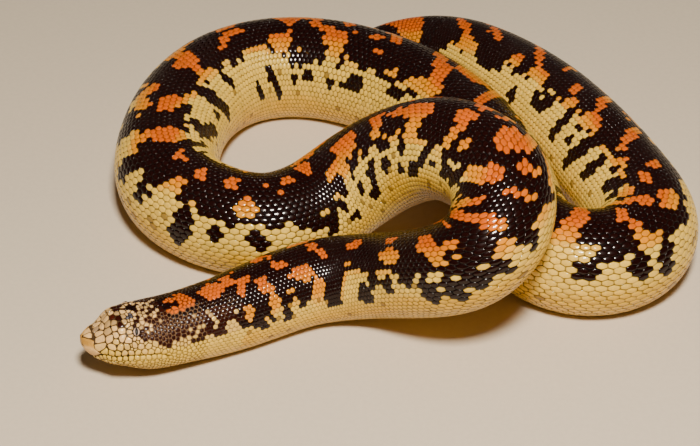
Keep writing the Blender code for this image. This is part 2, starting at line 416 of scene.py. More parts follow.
@dataclass
class Coat:
    """How deep the scales are, and how they lie on the body.

    A height of 0 is the skin and 1 is the outer surface of the animal.
    """

    body: Body
    depth: float = 0.34
    head_depth: float = 0.22
    least_depth: float = 0.1
    full_radius: float = 16.0  # from this thickness on the coat is full
    tail_radius: float = 5.0
    thinnest: float = 0.3  # share of its depth that is left at the thinnest places
    stretch_room: float = 1.3  # how much squeeze a scale takes without sinking
    least_height: float = 0.3  # share of its height that is left in the tightest bend

    def thickness(self, along: Array) -> Array:
        """Depth of the coat, less on the head and towards the tip of the tail."""
        radius = profile(GIRTH, along)
        full = self.depth * np.clip(radius / self.full_radius, self.thinnest, 1.0) ** 1.5
        depth = self.head_depth + (full - self.head_depth) * fade(along, 22.0, 45.0)
        return np.maximum(depth * np.clip(radius / self.tail_radius, self.thinnest, 1.0), self.least_depth)

    def lay(self, along: Array, share: Array, height: Array, form: "HeadForm | None" = None) -> Array:
        """Points at given heights in the coat.

        Args:
            along, share: distances and shares of the places.
            height: heights in the coat.
            form: the folds of the head, where they are wanted.

        Returns:
            One point for each height.
        """
        spot, normal, stretch = self.body.place(along, share)
        rise = height * np.clip(self.stretch_room * stretch, self.least_height, 1.0)
        lift = self.thickness(np.clip(along, 0, self.body.length)) * (rise - 1.0)
        if form:
            lift = lift + form.relief(spot, along)
        return spot + normal * lift[:, None]


# ---- colours and markings


def linear(red: int, green: int, blue: int) -> Array:
    """A colour given as on a paint chart, as light."""
    share = np.array([red, green, blue]) / 255.0
    return np.where(share <= 0.04045, share / 12.92, ((share + 0.055) / 1.055) ** 2.4)


PLUM_BLACK = linear(24, 3, 1)
DARK_BROWN = linear(66, 22, 8)
DEEP_ORANGE = linear(206, 90, 0)
AMBER = linear(224, 138, 0)
CREAM = linear(230, 187, 74)
OLIVE_CREAM = linear(222, 168, 44)
BELLY_CREAM = linear(230, 190, 96)
PINKISH_CREAM = linear(232, 184, 116)
SLATE = linear(86, 80, 86)
ROSTRAL_YELLOW = linear(196, 142, 62)
PALE_HORN = linear(246, 232, 206)
SPECKLE_TAN = linear(176, 130, 88)
WARM_SHADE = np.array([1.0, 0.84, 0.70])  # how the seams between dark scales tint a colour: the browner skin there, with painted shade


@dataclass(frozen=True)
class Waves:
    """Smooth noise over the unrolled skin."""

    length: float  # of one wave along the body
    spread: float  # of one wave round it, in degrees
    seed: float

    def at(self, along: Array, turn: Array) -> Array:
        """The noise at places, between -1 and 1."""
        return ripple(along / self.length, turn / self.spread, self.seed)


EDGE_WAVES = Waves(3.2, 3.6 * 3.2, 1.0)
FRAY_WAVES = Waves(1.3, 5.0, 2.0)
BLUSH_WAVES = Waves(5.0, 14.0, 5.0)
OLIVE_WAVES = Waves(9.0, 30.0, 6.0)
FLECK_WAVES = Waves(12.0, 30.0, 7.0)
CLUMP_WAVES = Waves(2.6, 12.0, 8.0)
ROSTRAL_WAVES = Waves(0.7, 0.7, 9.0)
TEMPLE_WAVES = Waves(3.0, 20.0, 12.0)


@dataclass(frozen=True)
class Mark:
    """One patch of the pattern, an oval on the unrolled skin."""

    at: float  # distance from the snout
    turn: float  # degrees from the back
    reach: float  # half its length along the body
    spread: float  # half its width round the body, in degrees
    lean: float = 0.0  # how far it shifts along the body for each 10 degrees of turn

    def inside(self, along: Array, turn: Array) -> Array:
        """How far inside the mark a place is: 1 at its middle, 0 at its edge."""
        across = turn - self.turn
        down = along - self.at - self.lean * across / 10.0
        return 1.0 - np.hypot(down / self.reach, across / self.spread)


def marks(*rows: tuple) -> list[Mark]:
    """Marks from rows of distance, turn, reach, spread and, where it isn't 0, lean."""
    return [Mark(*row) for row in rows]


# Where the dark back ends on each side: distance, turn on the left, turn on the right.
BACK_EDGES = [
    (0, 35, 35), (20, 50, 50), (30, 76, 70), (45, 82, 74), (52, 80, 72), (58, 72, 68), (66, 68, 64),
    (76, 82, 70), (84, 82, 66), (88, 54, 56), (112, 58, 58), (142, 62, 52), (166, 60, 60), (200, 55, 50),
    (240, 45, 52), (264, 28, 46), (294, 22, 40), (324, 30, 44), (354, 34, 46), (388, 44, 46),
    (428, 42, 46), (458, 42, 42), (520, 38, 40), (545, 44, 36), (570, 42, 28), (605, 45, 24),
    (640, 45, 30), (668, 52, 46), (690, 70, 66), (735, 75, 75),
]

# Bars and patches of light scales on the dark back.
BACK_BARS = marks(
    (25.5, -3, 2, 6), (26, 20, 3.5, 5), (29.5, 5, 2.2, 24, 0.3), (32.3, 50, 1.3, 6), (38.5, 5, 3.4, 18),
    (37, 36, 1.8, 5), (40, 46, 1.4, 8), (44, 5, 3, 8, 1), (44, -10, 2, 7), (48.5, 10, 2.6, 6),
    (46.5, 20, 1.2, 12), (46.3, 58, 1.4, 12), (53.5, 28, 1.8, 14), (55, 60, 1.7, 28),
    (61, 8, 1.7, 9, 1.2), (60.5, -18, 1.2, 9), (61, 52, 1.5, 5), (66.5, 32, 4.5, 12, 0.8),
    (71.5, 62, 3.2, 18), (73, -5, 1.6, 14, 1), (75.5, 12, 1.8, 9, 1.2), (89, 8, 2.8, 11),
    (88.5, 38, 1.6, 3), (89, 68, 4.2, 20), (103.5, 9, 2.4, 9, 0.5), (106, 35, 3.8, 11, 1),
    (119, 31, 2.9, 21, 1.2), (124.5, 31, 1.7, 7), (125, -5, 1.6, 11, 0.6), (130.5, -13, 2.1, 19, 0.8),
    (133, 19, 1.8, 20, 0.3), (131.5, 55, 1.6, 13), (136, -25, 1.9, 21, 0.9), (141.5, 21, 1.1, 21),
    (146.5, -29, 2.5, 32, -0.8), (147, 25, 1.3, 18, -0.2), (154, 7, 2.7, 18, 0.6), (157.5, -37, 1.4, 16),
    (163.5, -35, 2, 20), (166, -8, 3, 15, 0.6), (178.5, -38, 2.2, 18, 0.3), (181, -16, 5.4, 14, 0.5),
    (187, -13, 3.6, 7, 0.4), (193.5, -28, 2, 16, 0.6), (195.5, -8, 2.2, 9), (205, -31, 2, 7),
    (207.5, -15, 4.8, 12, 1), (210.5, -45, 3.2, 9), (214.5, -29, 7.6, 9, 0.8), (227.5, 6, 4.2, 14),
    (237, -4, 3, 7), (241, -22, 1.3, 5), (245, -8, 1.3, 5), (250, -33, 2.2, 13), (255, -7, 1.8, 9),
    (265, -9, 2, 9), (270, -38, 2.8, 18, -1.1), (275.5, -1, 3.4, 6, -2), (289, 5, 5.2, 18),
    (291.5, -34, 2.8, 26, -0.4), (290.5, 33, 4.2, 9, 2), (307, 2, 4.6, 16, 0.9),
    (310, -34, 4.2, 14, -2.4), (312, 28, 3.6, 13, 0.6), (331, -4, 5.2, 13), (329, 30, 2.8, 26),
    (338, -32, 3.2, 11, -1), (350, 4, 2.6, 15, -3.8), (357, -2, 1.8, 7), (356, -23, 3.6, 9, -1),
    (341, 33, 2.4, 5), (357.5, 33, 2.6, 5), (370.5, 26, 5.2, 12), (374.5, -13, 2.6, 19),
    (382.5, -16, 1.8, 16), (387, 2, 2.8, 7), (392, 15, 5, 13, 0.5), (394, 38, 3.2, 9),
    (392.5, -24, 1.8, 13, 0.3), (409.5, -19, 2.2, 18, 2.2), (405.5, -5, 2.1, 7), (410.5, 20, 2.2, 5),
    (432.5, -6, 4.2, 30, 3), (437, 30, 5.6, 12), (453.5, -20, 2.8, 24, 2), (466, 6, 3.4, 16, 1),
    (478, -12, 2.6, 20, -1), (491, 10, 4, 14, 1.4), (503, -4, 2.4, 22, -0.6), (514, 14, 3, 12, 1),
    (526, -12, 3.4, 22), (524.5, 22, 2.6, 20), (539, 0, 2, 13, -1), (540, 26, 1.7, 17),
    (550, -5, 2.1, 17, 0.5), (556, -25, 4.2, 9, -1.5), (555, 22, 3.7, 14), (562, -2, 3.2, 8, -2),
    (569, 12, 2.2, 13, 1), (573.5, -20, 2, 9), (580, -8, 1.8, 9, 1), (585, 12, 2.6, 21, 2.4),
    (597.5, -14, 5.2, 11), (607, 20, 2.2, 23, 2.4), (610.5, -20, 2.8, 10), (616, 0, 2.2, 9, 2),
    (631, -20, 5.2, 13, 1.5), (630.5, 22, 1.5, 10, 1), (642, 10, 2.4, 23, 3.2), (644, -22, 3, 11, 1),
    (664, 5, 2.6, 19, 3), (668, -36, 5.4, 12, 1.5), (677, -8, 2.8, 25, 3), (703, -5, 6.6, 54, 1),
    (722, 10, 3, 40, 0.5),
)

# Dark tongues and blotches on the light sides.
SIDE_BLOTCHES = marks(
    (50, 84, 1.6, 12), (58, 80, 1.8, 12), (66, 60, 4.2, 12), (79.5, 86, 4.4, 8), (95, 81, 3.7, 16),
    (100, 65, 2.7, 12), (105.5, 75, 2.2, 12), (112, 65, 2.6, 12), (117, 83, 2, 20), (122, 85, 1.8, 22),
    (125.5, 71, 2, 18), (129.5, 67, 1.6, 18), (135, 63, 1.4, 20), (143, 59, 1.4, 18, 1),
    (142, -53, 1.8, 14, -1.5), (151.5, -65, 3.5, 20, -1.5), (159, -77, 3.2, 11, -1.5),
    (162, -61, 2.2, 9), (167, -77, 1.4, 5), (172, -72, 2.7, 11, -1), (177, -88, 3.2, 9, -1),
    (182, -64, 2.2, 8), (184, -88, 1.8, 6), (191, -76, 2.4, 7), (199, -74, 2.6, 17, -1),
    (203.5, -92, 3.2, 8), (208.5, -72, 2.2, 5), (219.5, -83, 2.7, 6), (222, -63, 2.2, 9),
    (226.5, -53, 3.2, 11), (230, -73, 2.6, 12), (234.5, -65, 2.2, 9), (238.5, -55, 2.6, 9),
    (244.5, -53, 1.8, 11), (247.5, -75, 1.8, 14), (256, -69, 1.8, 12), (258, -45, 3.2, 9),
    (264, -71, 2.6, 27, -0.4), (274, -48, 2.6, 13), (277.5, -58, 2, 17), (286, -57, 2.8, 26, -0.8),
    (301, -58, 4.2, 24, -1.5), (319, -60, 3.6, 20, -1), (275, 24, 2.2, 15, 2), (284, 34, 2.6, 20, 2.3),
    (294, 38, 2.8, 22, 2), (302, 50, 3.2, 20, 1.5), (306, 62, 2.7, 8), (315, 62, 2.2, 7),
    (320.5, 44, 3.5, 30, 0.5), (324, 72, 1.6, 13), (335, 48, 2.6, 11), (353, 82, 2.8, 12, 1.2),
    (364, 70, 3.2, 15, 1.2), (367.5, 90, 1.6, 9), (378, 48, 5.4, 10), (383, 68, 3.6, 6),
    (377, 72, 2.2, 5), (395.5, 74, 2.2, 10), (401, 71, 2.2, 5), (407.5, 64, 4.2, 11),
    (427.5, 54, 4.2, 8, -1), (449.5, 60, 3.2, 14), (472, 58, 4, 16), (496, 64, 3, 18),
    (513, 60, 3.4, 14), (529.5, 58, 2.2, 15, -0.8), (533, 45, 3.4, 12), (538, 66, 1.9, 18),
    (544, 60, 1.9, 21, -0.5), (550, 38, 3.6, 16), (565, -38, 3.2, 19, -1), (572, -26, 1.8, 12),
    (579.5, -44, 2.3, 23, -0.4), (589.5, -46, 2.9, 32, -0.4), (596.5, -50, 2.1, 7), (605, -44, 2.5, 25),
    (619.5, -40, 6, 13), (634.5, -60, 2.3, 10), (640, -30, 3, 9), (655, -40, 9, 13), (684, -74, 5, 14),
)

# Patches of a colour of their own on the head.
HEAD_SPOTS = (
    (Mark(1.7, 14, 1.2, 14), PINKISH_CREAM),
    (Mark(4.5, 0, 1.0, 9), SLATE * 0.5 + PINKISH_CREAM * 0.5),
    (Mark(7.7, 23, 1.0, 7), DARK_BROWN),
    (Mark(14.3, -8, 1.4, 9), PLUM_BLACK),
    (Mark(13.4, 13, 1.3, 7), SLATE),
    (Mark(8.6, 3, 0.9, 5), DARK_BROWN),
    (Mark(10.2, -6, 0.9, 5), DARK_BROWN),
    (Mark(11.6, 44, 1.0, 7), PALE_HORN),
    (Mark(14.2, 42, 1.45, 8.5), PLUM_BLACK),
)

# Between these distances the marks listed are those of the left side, and elsewhere of the right.
LEFT_LISTED = [(0.0, 143.0), (290.0, 556.0)]
BOTH_LISTED = (262.0, 345.0)  # marks of the right side need no twin here
SADDLE = 26.0  # a mark nearer to the middle of the back than this needs no twin
TWIN_SHIFT = (2.0, 7.0)
TWIN_SIZE = (0.8, 1.2)


def mirrored(marks: list[Mark], draw: np.random.Generator) -> list[Mark]:
    """Marks for the far side of the animal, a little out of step with the near side.

    Args:
        marks: the marks of the near side.
        draw: the seeded source of chance.

    Returns:
        One new mark for each that stands well off the middle of the back.
    """
    copies = []
    for mark in marks:
        shift, size = draw.uniform(*TWIN_SHIFT), draw.uniform(*TWIN_SIZE)
        near_left = any(start <= mark.at < end for start, end in LEFT_LISTED)
        both = BOTH_LISTED[0] < mark.at < BOTH_LISTED[1] and mark.turn < 0
        if abs(mark.turn) < SADDLE or (mark.turn > 0) != near_left or both:
            continue
        copies.append(Mark(mark.at + shift, -mark.turn, mark.reach * size, mark.spread * size, -mark.lean))
    return copies


@dataclass
class Markings:
    """The pattern of the animal, the same for the skin and for everything on it."""

    seed: int = 11
    edge_softness: float = 14.0  # degrees over which the dark of the back gives way
    back_raggedness: float = 0.8  # how far noise moves the edge of the dark back
    raggedness: float = 0.34  # how far noise moves the edge of a mark
    flecks: float = 0.035  # share of the scales on the sides that are dark by themselves
    fleck_band: Pair = (62.0, 118.0)
    lone_scale: float = 0.994  # a chance above this makes a light scale on the dark back
    blush: float = 6.0  # degrees by which noise moves the borders of the light colours
    amber_band: Pair = (0.30, 0.80)  # as parts of the width of the dark back
    cream_band: Pair = (0.80, 1.15)
    olive_band: Pair = (80.0, 100.0)
    belly_band: Pair = (112.0, 140.0)
    crown_speckle: float = 0.46
    temple_speckle: float = 0.78
    clumping: float = 0.14
    light_marks: list[Mark] = field(default_factory=list)
    dark_marks: list[Mark] = field(default_factory=list)

    def __post_init__(self) -> None:
        """Completes the far side of the pattern."""
        draw = np.random.default_rng(self.seed)
        self.light_marks = BACK_BARS + mirrored(BACK_BARS, draw)
        self.dark_marks = SIDE_BLOTCHES + mirrored(SIDE_BLOTCHES, draw)

    @staticmethod
    def _deepest(marks: list[Mark], along: Array, turn: Array) -> Array:
        """How far inside the nearest mark each place is.

        Args:
            marks: the marks.
            along, turn: distances and turns of the places.

        Returns:
            As Mark.inside gives it, and well below 0 far from any mark.
        """
        best = np.full(len(along), -3.0)
        order = np.argsort(along)
        ranked = along[order]
        for mark in marks:
            span = mark.reach + abs(mark.lean) * mark.spread / 10.0 + 2.0
            low, high = np.searchsorted(ranked, (mark.at - span, mark.at + span))
            near = order[low:high]
            best[near] = np.maximum(best[near], mark.inside(along[near], turn[near]))
        return best

    def back_edge(self, along: Array, turn: Array) -> Array:
        """How far round the body, in degrees, the dark of the back reaches on that side."""
        at, left, right = zip(*BACK_EDGES)
        return np.where(turn > 0, np.interp(along, at, left), np.interp(along, at, right))

    def darkness(self, along: Array, turn: Array) -> Array:
        """Above 0 where the pattern is dark, below 0 where it is light.

        Args:
            along, turn: distances and turns of the places.

        Returns:
            Their values.
        """
        noise = EDGE_WAVES.at(along, turn) + 0.5 * FRAY_WAVES.at(along, turn)
        back = (self.back_edge(along, turn) - np.abs(turn)) / self.edge_softness
        back = back + noise * self.back_raggedness
        blotch = self._deepest(self.dark_marks, along, turn) * 2.0 + noise * self.raggedness
        bar = self._deepest(self.light_marks, along, turn) * 2.0 + noise * self.raggedness
        dark = np.maximum(back, blotch)
        return np.where(bar > 0, np.minimum(dark, -bar), dark)

    def light_colour(self, along: Array, turn: Array) -> Array:
        """The light ground: orange on the back, cream below.

        Args:
            along, turn: distances and turns of the places.

        Returns:
            Their colours.
        """
        size = np.abs(turn) + self.blush * BLUSH_WAVES.at(along, turn)
        part = size / self.back_edge(along, turn)
        olive = fade(size, *self.olive_band) * (0.6 + 0.4 * OLIVE_WAVES.at(along, turn))
        colour = toned(DEEP_ORANGE, AMBER, fade(part, *self.amber_band))
        colour = toned(colour, CREAM, fade(part, *self.cream_band))
        colour = toned(colour, OLIVE_CREAM, olive)
        return toned(colour, BELLY_CREAM, fade(size, *self.belly_band))

    def speckle(self, along: Array, turn: Array) -> Array:
        """How much a place belongs to the finely speckled temples and neck.

        Args:
            along, turn: distances and turns of the places.

        Returns:
            Their shares.
        """
        size = np.abs(turn)
        low_edge = 60.0 + 14.0 * fade(along, 17.0, 24.0) + 5.0 * TEMPLE_WAVES.at(along, turn)
        front = fade(along - 0.04 * np.abs(size - 40.0), 14.0, 16.5)
        inner = fade(size, 12.0, 22.0)
        outer = 1 - fade(size, low_edge - 4.0, low_edge + 6.0)
        return front * inner * outer * (1 - fade(along, 42.0, 47.0))

    def head_colour(self, along: Array, turn: Array, chance: Array) -> tuple[Array, Array]:
        """Colours of the head and how much of them shows.

        Args:
            along, turn: distances and turns of the places.
            chance: a random share for each place.

        Returns:
            Their colours, and whether they belong to the head.
        """
        size = np.abs(turn)
        pale = toned(PINKISH_CREAM, CREAM, fade(size, 58.0, 84.0))
        pale = toned(pale, BELLY_CREAM, fade(size, 100.0, 130.0))
        crown = self.crown_speckle * fade(along, 5.2, 11.5)
        temple = self.temple_speckle * self.speckle(along, turn)
        density = np.where(size < 32.0, np.maximum(crown, temple), temple)
        clumps = self.clumping * CLUMP_WAVES.at(along, turn) * (density > 0.1)
        dark = chance < density + clumps
        tan = (chance > 0.82) & ~dark & (size < 60.0)
        golden = (chance > 0.45) & ~dark & (size > 45.0) & (size < 80.0) & (along > 5.0)
        colour = np.where(dark[:, None], DARK_BROWN * 0.35 + PLUM_BLACK * 0.65, pale)
        colour = np.where(tan[:, None], colour * 0.62, colour)
        colour = np.where(golden[:, None], CREAM * 0.45 + PINKISH_CREAM * 0.45, colour)
        for mark, tone in HEAD_SPOTS:
            colour = np.where((mark.inside(along, turn) > 0)[:, None], tone, colour)
        end = 22.0 + 22.0 * fade(size, 26.0, 42.0)
        return colour, along + 3.0 * (chance - 0.5) <= end

    def tints(self, along: Array, turn: Array, chance: Array) -> Array:
        """The colour of each scale or place on the skin.

        Args:
            along, turn: distances and turns of the places.
            chance: a random share for each place.

        Returns:
            Their colours.
        """
        size = np.abs(turn)
        dark = self.darkness(along, turn) > 0
        side = (size > self.fleck_band[0]) & (size < self.fleck_band[1])
        fleck = side & (chance < self.flecks * (1 + 1.5 * FLECK_WAVES.at(along, turn)))
        lone = (size < 60.0) & (chance > self.lone_scale)
        light = self.light_colour(along, turn)
        colour = np.where(dark[:, None], PLUM_BLACK, light)
        colour = np.where((fleck & ~dark)[:, None], 0.35 * light + 0.65 * DARK_BROWN, colour)
        colour = np.where((lone & dark)[:, None], light, colour)
        head, shows = self.head_colour(along, turn, chance)
        return np.where(shows[:, None], head, colour)


# ---- working with meshes


def start_clean() -> None:
    """Leaves nothing selected and no mesh open."""
    if bpy.context.mode != "OBJECT":
        bpy.ops.object.mode_set(mode="OBJECT")
    bpy.ops.object.select_all(action="DESELECT")


def close_mesh(thing: Thing, merge: float = 0.0) -> None:
    """Turns the faces of a closed mesh outwards and smooths them.

    Args:
        thing: the mesh.
        merge: points nearer to each other than this, in metres, become one first.
    """
    start_clean()
    thing.select_set(True)
    bpy.context.view_layer.objects.active = thing
    bpy.ops.object.mode_set(mode="EDIT")
    bpy.ops.mesh.select_all(action="SELECT")
    if merge > 0:
        bpy.ops.mesh.remove_doubles(threshold=merge)
    bpy.ops.mesh.normals_make_consistent(inside=False)
    bpy.ops.object.mode_set(mode="OBJECT")
    bpy.ops.object.shade_smooth()


def points_of(thing: Thing) -> Array:
    """The corner points of a mesh, in its own units."""
    flat = np.empty(len(thing.data.vertices) * 3, np.float32)
    thing.data.vertices.foreach_get("co", flat)
    return flat.reshape(-1, 3).astype(float)


def move_points(thing: Thing, points: Array) -> None:
    """Puts the corner points of a mesh at places given in millimetres, none below the floor."""
    places = points * MM
    places[:, 2] = np.maximum(places[:, 2], 0.0)
    thing.data.vertices.foreach_set("co", places.astype(np.float32).ravel())
    thing.data.update()


def paint(thing: Thing, tints: Array, rise: Array) -> None:
    """Stores a colour and a height in the coat at each corner point.

    Args:
        thing: the mesh.
        tints: one colour for each point.
        rise: one height for each point, 0 at the skin and 1 at the surface; the material paints shade where
            it is low.
    """
    colour = thing.data.attributes.new("tint", "FLOAT_COLOR", "POINT")
    full = np.column_stack([tints, np.ones(len(tints))])
    colour.data.foreach_set("color", full.astype(np.float32).ravel())
    height = thing.data.attributes.new("rise", "FLOAT", "POINT")
    height.data.foreach_set("value", rise.astype(np.float32))


def corner_points(thing: Thing) -> Array:
    """For each corner of each face, the number of its point."""
    numbers = np.empty(len(thing.data.loops), np.int32)
    thing.data.loops.foreach_get("vertex_index", numbers)
    return numbers


def add_map(thing: Thing, corners: Array, name: str = "OFBake") -> None:
    """Gives a mesh a flat map with one place for each corner of each face."""
    layer = thing.data.uv_layers.new(name=name)
    layer.uv.foreach_set("vector", corners.astype(np.float32).ravel())


UNWRAP_STRIPS = 3  # lengths of skin laid side by side on the map
MAP_MARGIN = 0.004
STRIP_GAP = 0.02  # part of a strip's width that stays free on each side of it
PATCH = 0.003  # width on the map of one scale


def unwrapped(body: Body, along: Array, share: Array, strip: Array) -> Array:
    """Places on the map of the skin, which is unrolled and cut into three lengths.

    Args:
        body: the surface.
        along, share: distances and shares of the places.
        strip: which length of skin each place is drawn on.

    Returns:
        One pair of map coordinates for each place.
    """
    across = np.clip(UNWRAP_STRIPS * along / body.length - strip, -0.003, 1.003)
    upward = (strip + STRIP_GAP + (1 - 2 * STRIP_GAP) * (share + 1) / 2) / UNWRAP_STRIPS
    flat = np.column_stack([across, upward])
    return MAP_MARGIN + flat * (1 - 2 * MAP_MARGIN)


def strip_of(body: Body, along: Array) -> Array:
    """The length of skin that a distance belongs to on the map."""
    return np.clip(np.floor(UNWRAP_STRIPS * along / body.length), 0, UNWRAP_STRIPS - 1)


@dataclass
class Domes:
    """Copies of a dome in one mesh: the points of the first come first, then those of the second.

    The rest is said once for each point of one dome, the same for all.
    """

    thing: Thing
    ring: Array
    spoke: Array
    share: Array  # of the outline
    level: Array  # height in the coat

    def dress(
        self, body: Body, roots: tuple[Array, Array], tints: Array, rise: Array, patch: Array
    ) -> None:
        """Colours the domes and gives them their map.

        Args:
            body: the surface they stand on.
            roots: the distances and shares of the domes.
            tints: their colours.
            rise: one height for each point of a dome, which sets its painted shade.
            patch: steps on the map from the root to each point.
        """
        paint(self.thing, np.repeat(tints, len(self.ring), axis=0), np.tile(rise, len(tints)))
        root = unwrapped(body, *roots, strip_of(body, roots[0]))
        places = (root[:, None] + patch).reshape(-1, 2)
        add_map(self.thing, places[corner_points(self.thing)])


@dataclass
class Dome:
    """The low closed cushion that every scale and plate is made from.

    Its rings are given as (share of the outline, height) from the buried rim up.
    """

    spokes: int
    rings: tuple[Pair, ...] = ((1.0, -0.5), (0.93, 0.72), (0.74, 0.98))
    top: float = 1.0

    def model(self, name: str) -> Thing:
        """Raises the dome from a flat disc by extruding it ring by ring."""
        start_clean()
        bpy.ops.mesh.primitive_circle_add(vertices=self.spokes, radius=1.0, fill_type="NGON")
        dome = bpy.context.object
        dome.name = name
        bpy.ops.object.mode_set(mode="EDIT")
        bpy.ops.mesh.select_all(action="SELECT")
        bpy.ops.transform.translate(value=(0, 0, self.rings[0][1]))
        for (outer, low), (inner, high) in zip(self.rings, self.rings[1:]):
            bpy.ops.mesh.extrude_region_move(TRANSFORM_OT_translate={"value": (0, 0, high - low)})
            ratio = inner / outer
            bpy.ops.transform.resize(value=(ratio, ratio, 1.0), center_override=(0, 0, high))
        bpy.ops.mesh.poke(offset=self.top - self.rings[-1][1])
        close_mesh(dome)
        return dome

    def repeat(self, name: str, count: int) -> Domes:
        """Arrays the dome into one mesh.

        Args:
            name: the name of the joined mesh.
            count: how many domes it holds.

        Returns:
            The copies, all of one shape so far.
        """
        many = self.model(name)
        points = points_of(many)
        radius = np.hypot(points[:, 0], points[:, 1])
        levels = np.array([*self.rings, (0.0, self.top)])
        away = np.abs(radius[:, None] - levels[:, 0]) + np.abs(points[:, 2:] - levels[:, 1])
        ring = np.argmin(away, axis=1)
        bearing = np.arctan2(points[:, 1], points[:, 0]) / (2 * np.pi) * self.spokes
        spoke = np.round(bearing).astype(int) % self.spokes
        array = many.modifiers.new("rows", "ARRAY")
        array.count = count
        array.use_relative_offset = False
        array.use_constant_offset = True
        array.constant_offset_displace = (3.0, 0.0, 0.0)
        bpy.ops.object.modifier_apply(modifier=array.name)
        return Domes(many, ring, spoke, levels[ring, 0], levels[ring, 1])


# ---- the form of the head


@dataclass(frozen=True)
class Fold:
    """A groove, pit or swelling along a short line on the head."""

    line: tuple[Pair, ...]  # distance from the snout, turn from the back
    height: float  # negative for a groove
    width: float
    ring: float = 0.0  # above 0, the fold is a ring of this radius round the line
    paired: bool = True


EYE_AT = (14.2, 42.0)
NOSTRIL_LINE = ((2.95, 5.0), (3.4, 28.0))
MOUTH_LINE = (
    (2.6, 180.0), (2.9, 150.0), (3.7, 125.0), (5.1, 100.0), (7.5, 91.0),
    (11.2, 86.0), (15.0, 84.0), (18.8, 83.5), (21.3, 87.0), (22.6, 92.0),
)
HEAD_FOLDS = (
    Fold(MOUTH_LINE, -0.34, 0.42),
    Fold(NOSTRIL_LINE, -0.85, 0.36),
    Fold((EYE_AT,), -0.75, 0.9),
    Fold((EYE_AT,), 0.16, 0.55, 1.75),
    Fold(((9.2, 50.0), (10.8, 47.0)), -0.30, 1.9),
    Fold(((5.0, 33.0), (9.0, 31.0), (12.6, 29.0)), 0.16, 1.1),
    Fold(((14.4, 21.0),), 0.14, 1.8),
    Fold(((1.4, 62.0), (2.0, 82.0)), -0.30, 1.1),
    Fold(((0.6, 8.0), (1.8, 32.0), (3.3, 42.0)), 0.16, 0.6),
    Fold(((18.0, 74.0), (22.0, 74.0)), 0.18, 3.0),
    Fold(((6.5, 180.0), (14.0, 180.0)), -0.22, 0.5, paired=False),
)


class HeadForm:
    """The folds of the head, as heights above the plain surface of the body."""

    END = 32.0
    SPACING = 0.25

    def __init__(self, body: Body) -> None:
        """Follows each fold over the surface on both sides."""
        self.body = body
        self.folds = []
        for fold in HEAD_FOLDS:
            for side in Side if fold.paired else (Side.LEFT,):
                self.folds.append((fold, self.trace(fold.line, side)))

    def trace(self, line: tuple, side: Side) -> Array:
        """Follows a line over the surface.

        Args:
            line: its distances and turns.
            side: the side of the animal.

        Returns:
            Points close together along it.
        """
        dense = np.array(line)
        if len(dense) > 1:
            gone = gone_by(self.body.spot(dense[:, 0], self.body.share(*dense.T)))
            at = np.linspace(0, gone[-1], max(3, int(gone[-1] / self.SPACING)))
            table = np.column_stack([gone, dense])
            dense = np.column_stack([profile(table, at, column) for column in (1, 2)])
        return self.body.spot(dense[:, 0], self.body.share(dense[:, 0], side * dense[:, 1]))

    def relief(self, spots: Array, along: Array) -> Array:
        """The height of the folds at points of the plain surface.

        Args:
            spots: the points.
            along: their distances.

        Returns:
            One height for each, negative in a groove.
        """
        total = np.zeros(len(spots))
        near = np.flatnonzero(along < self.END)
        here = spots[near]
        for fold, line in self.folds:
            nearest = np.full(len(here), np.inf)
            for point in line:
                nearest = np.minimum(nearest, np.sum((here - point) ** 2, axis=1))
            away = np.abs(np.sqrt(nearest) - fold.ring) / fold.width
            total[near] += fold.height * np.exp(-(away**2))
        return total


class Chart:
    """One end of the body opened flat round its tip.

    The distance from the tip is the radius on the chart, and the share of the
    girth is the bearing.
    """

    PROBE = 0.05  # the step by which a slope of the chart is felt
    LONGEST = 1.5
    LEAST_SLOPE = 0.05

    def __init__(self, body: Body, coat: Coat, form: HeadForm | None = None) -> None:
        """Opens the head where it has a form, and the tail otherwise."""
        self.body = body
        self.coat = coat
        self.form = form

    def flat(self, along: Array, share: Array) -> Array:
        """Places on the chart."""
        reach = along + END_CAP if self.form else self.body.length + END_CAP - along
        bearing = np.pi * share
        return np.column_stack([reach * np.sin(bearing), reach * np.cos(bearing)])

    def rolled(self, flat: Array) -> tuple[Array, Array]:
        """Distances and shares of places on the chart."""
        reach = np.hypot(flat[:, 0], flat[:, 1])
        share = np.arctan2(flat[:, 0], flat[:, 1]) / np.pi
        return (reach - END_CAP if self.form else self.body.length + END_CAP - reach), share

    def spots(self, flat: Array) -> Array:
        """Points of the surface at places on the chart."""
        return self.body.spot(*self.rolled(flat))

    def turns(self, flat: Array) -> Array:
        """Turns from the back, in degrees, of places on the chart."""
        along, share = self.rolled(flat)
        return self.body.turn(np.maximum(along, 0), share)

    def walk(self, start: Array, steps: Array) -> Array:
        """Goes straight from places on the chart over the real surface.

        Args:
            start: places on the chart.
            steps: how far to go from each, tailwards and round.

        Returns:
            The places reached, on the chart.
        """
        spot, first, second, _ = self.body.axes(*self.rolled(start))

        def gone(flat: Array) -> Array:
            """How far places on the chart are from the start, in both directions."""
            offset = self.spots(flat) - spot
            return np.column_stack([dots(offset, first), dots(offset, second)])

        flat = start.copy()
        for _ in range(5):
            here = gone(flat)
            by_x = (gone(flat + (self.PROBE, 0)) - here) / self.PROBE
            by_y = (gone(flat + (0, self.PROBE)) - here) / self.PROBE
            miss = steps - here
            grid = by_x[:, 0] * by_y[:, 1] - by_x[:, 1] * by_y[:, 0]
            least = self.LEAST_SLOPE * np.where(grid < 0, -1, 1)
            grid = np.where(np.abs(grid) < self.LEAST_SLOPE, least, grid)
            move_x = (miss[:, 0] * by_y[:, 1] - miss[:, 1] * by_y[:, 0]) / grid
            move_y = (by_x[:, 0] * miss[:, 1] - by_x[:, 1] * miss[:, 0]) / grid
            flat = flat + np.clip(np.column_stack([move_x, move_y]), -self.LONGEST, self.LONGEST)
        return flat

    def lay(self, flat: Array, height: Array) -> Array:
        """Points at given heights in the coat."""
        return self.coat.lay(*self.rolled(flat), height, self.form)


# ---- plates


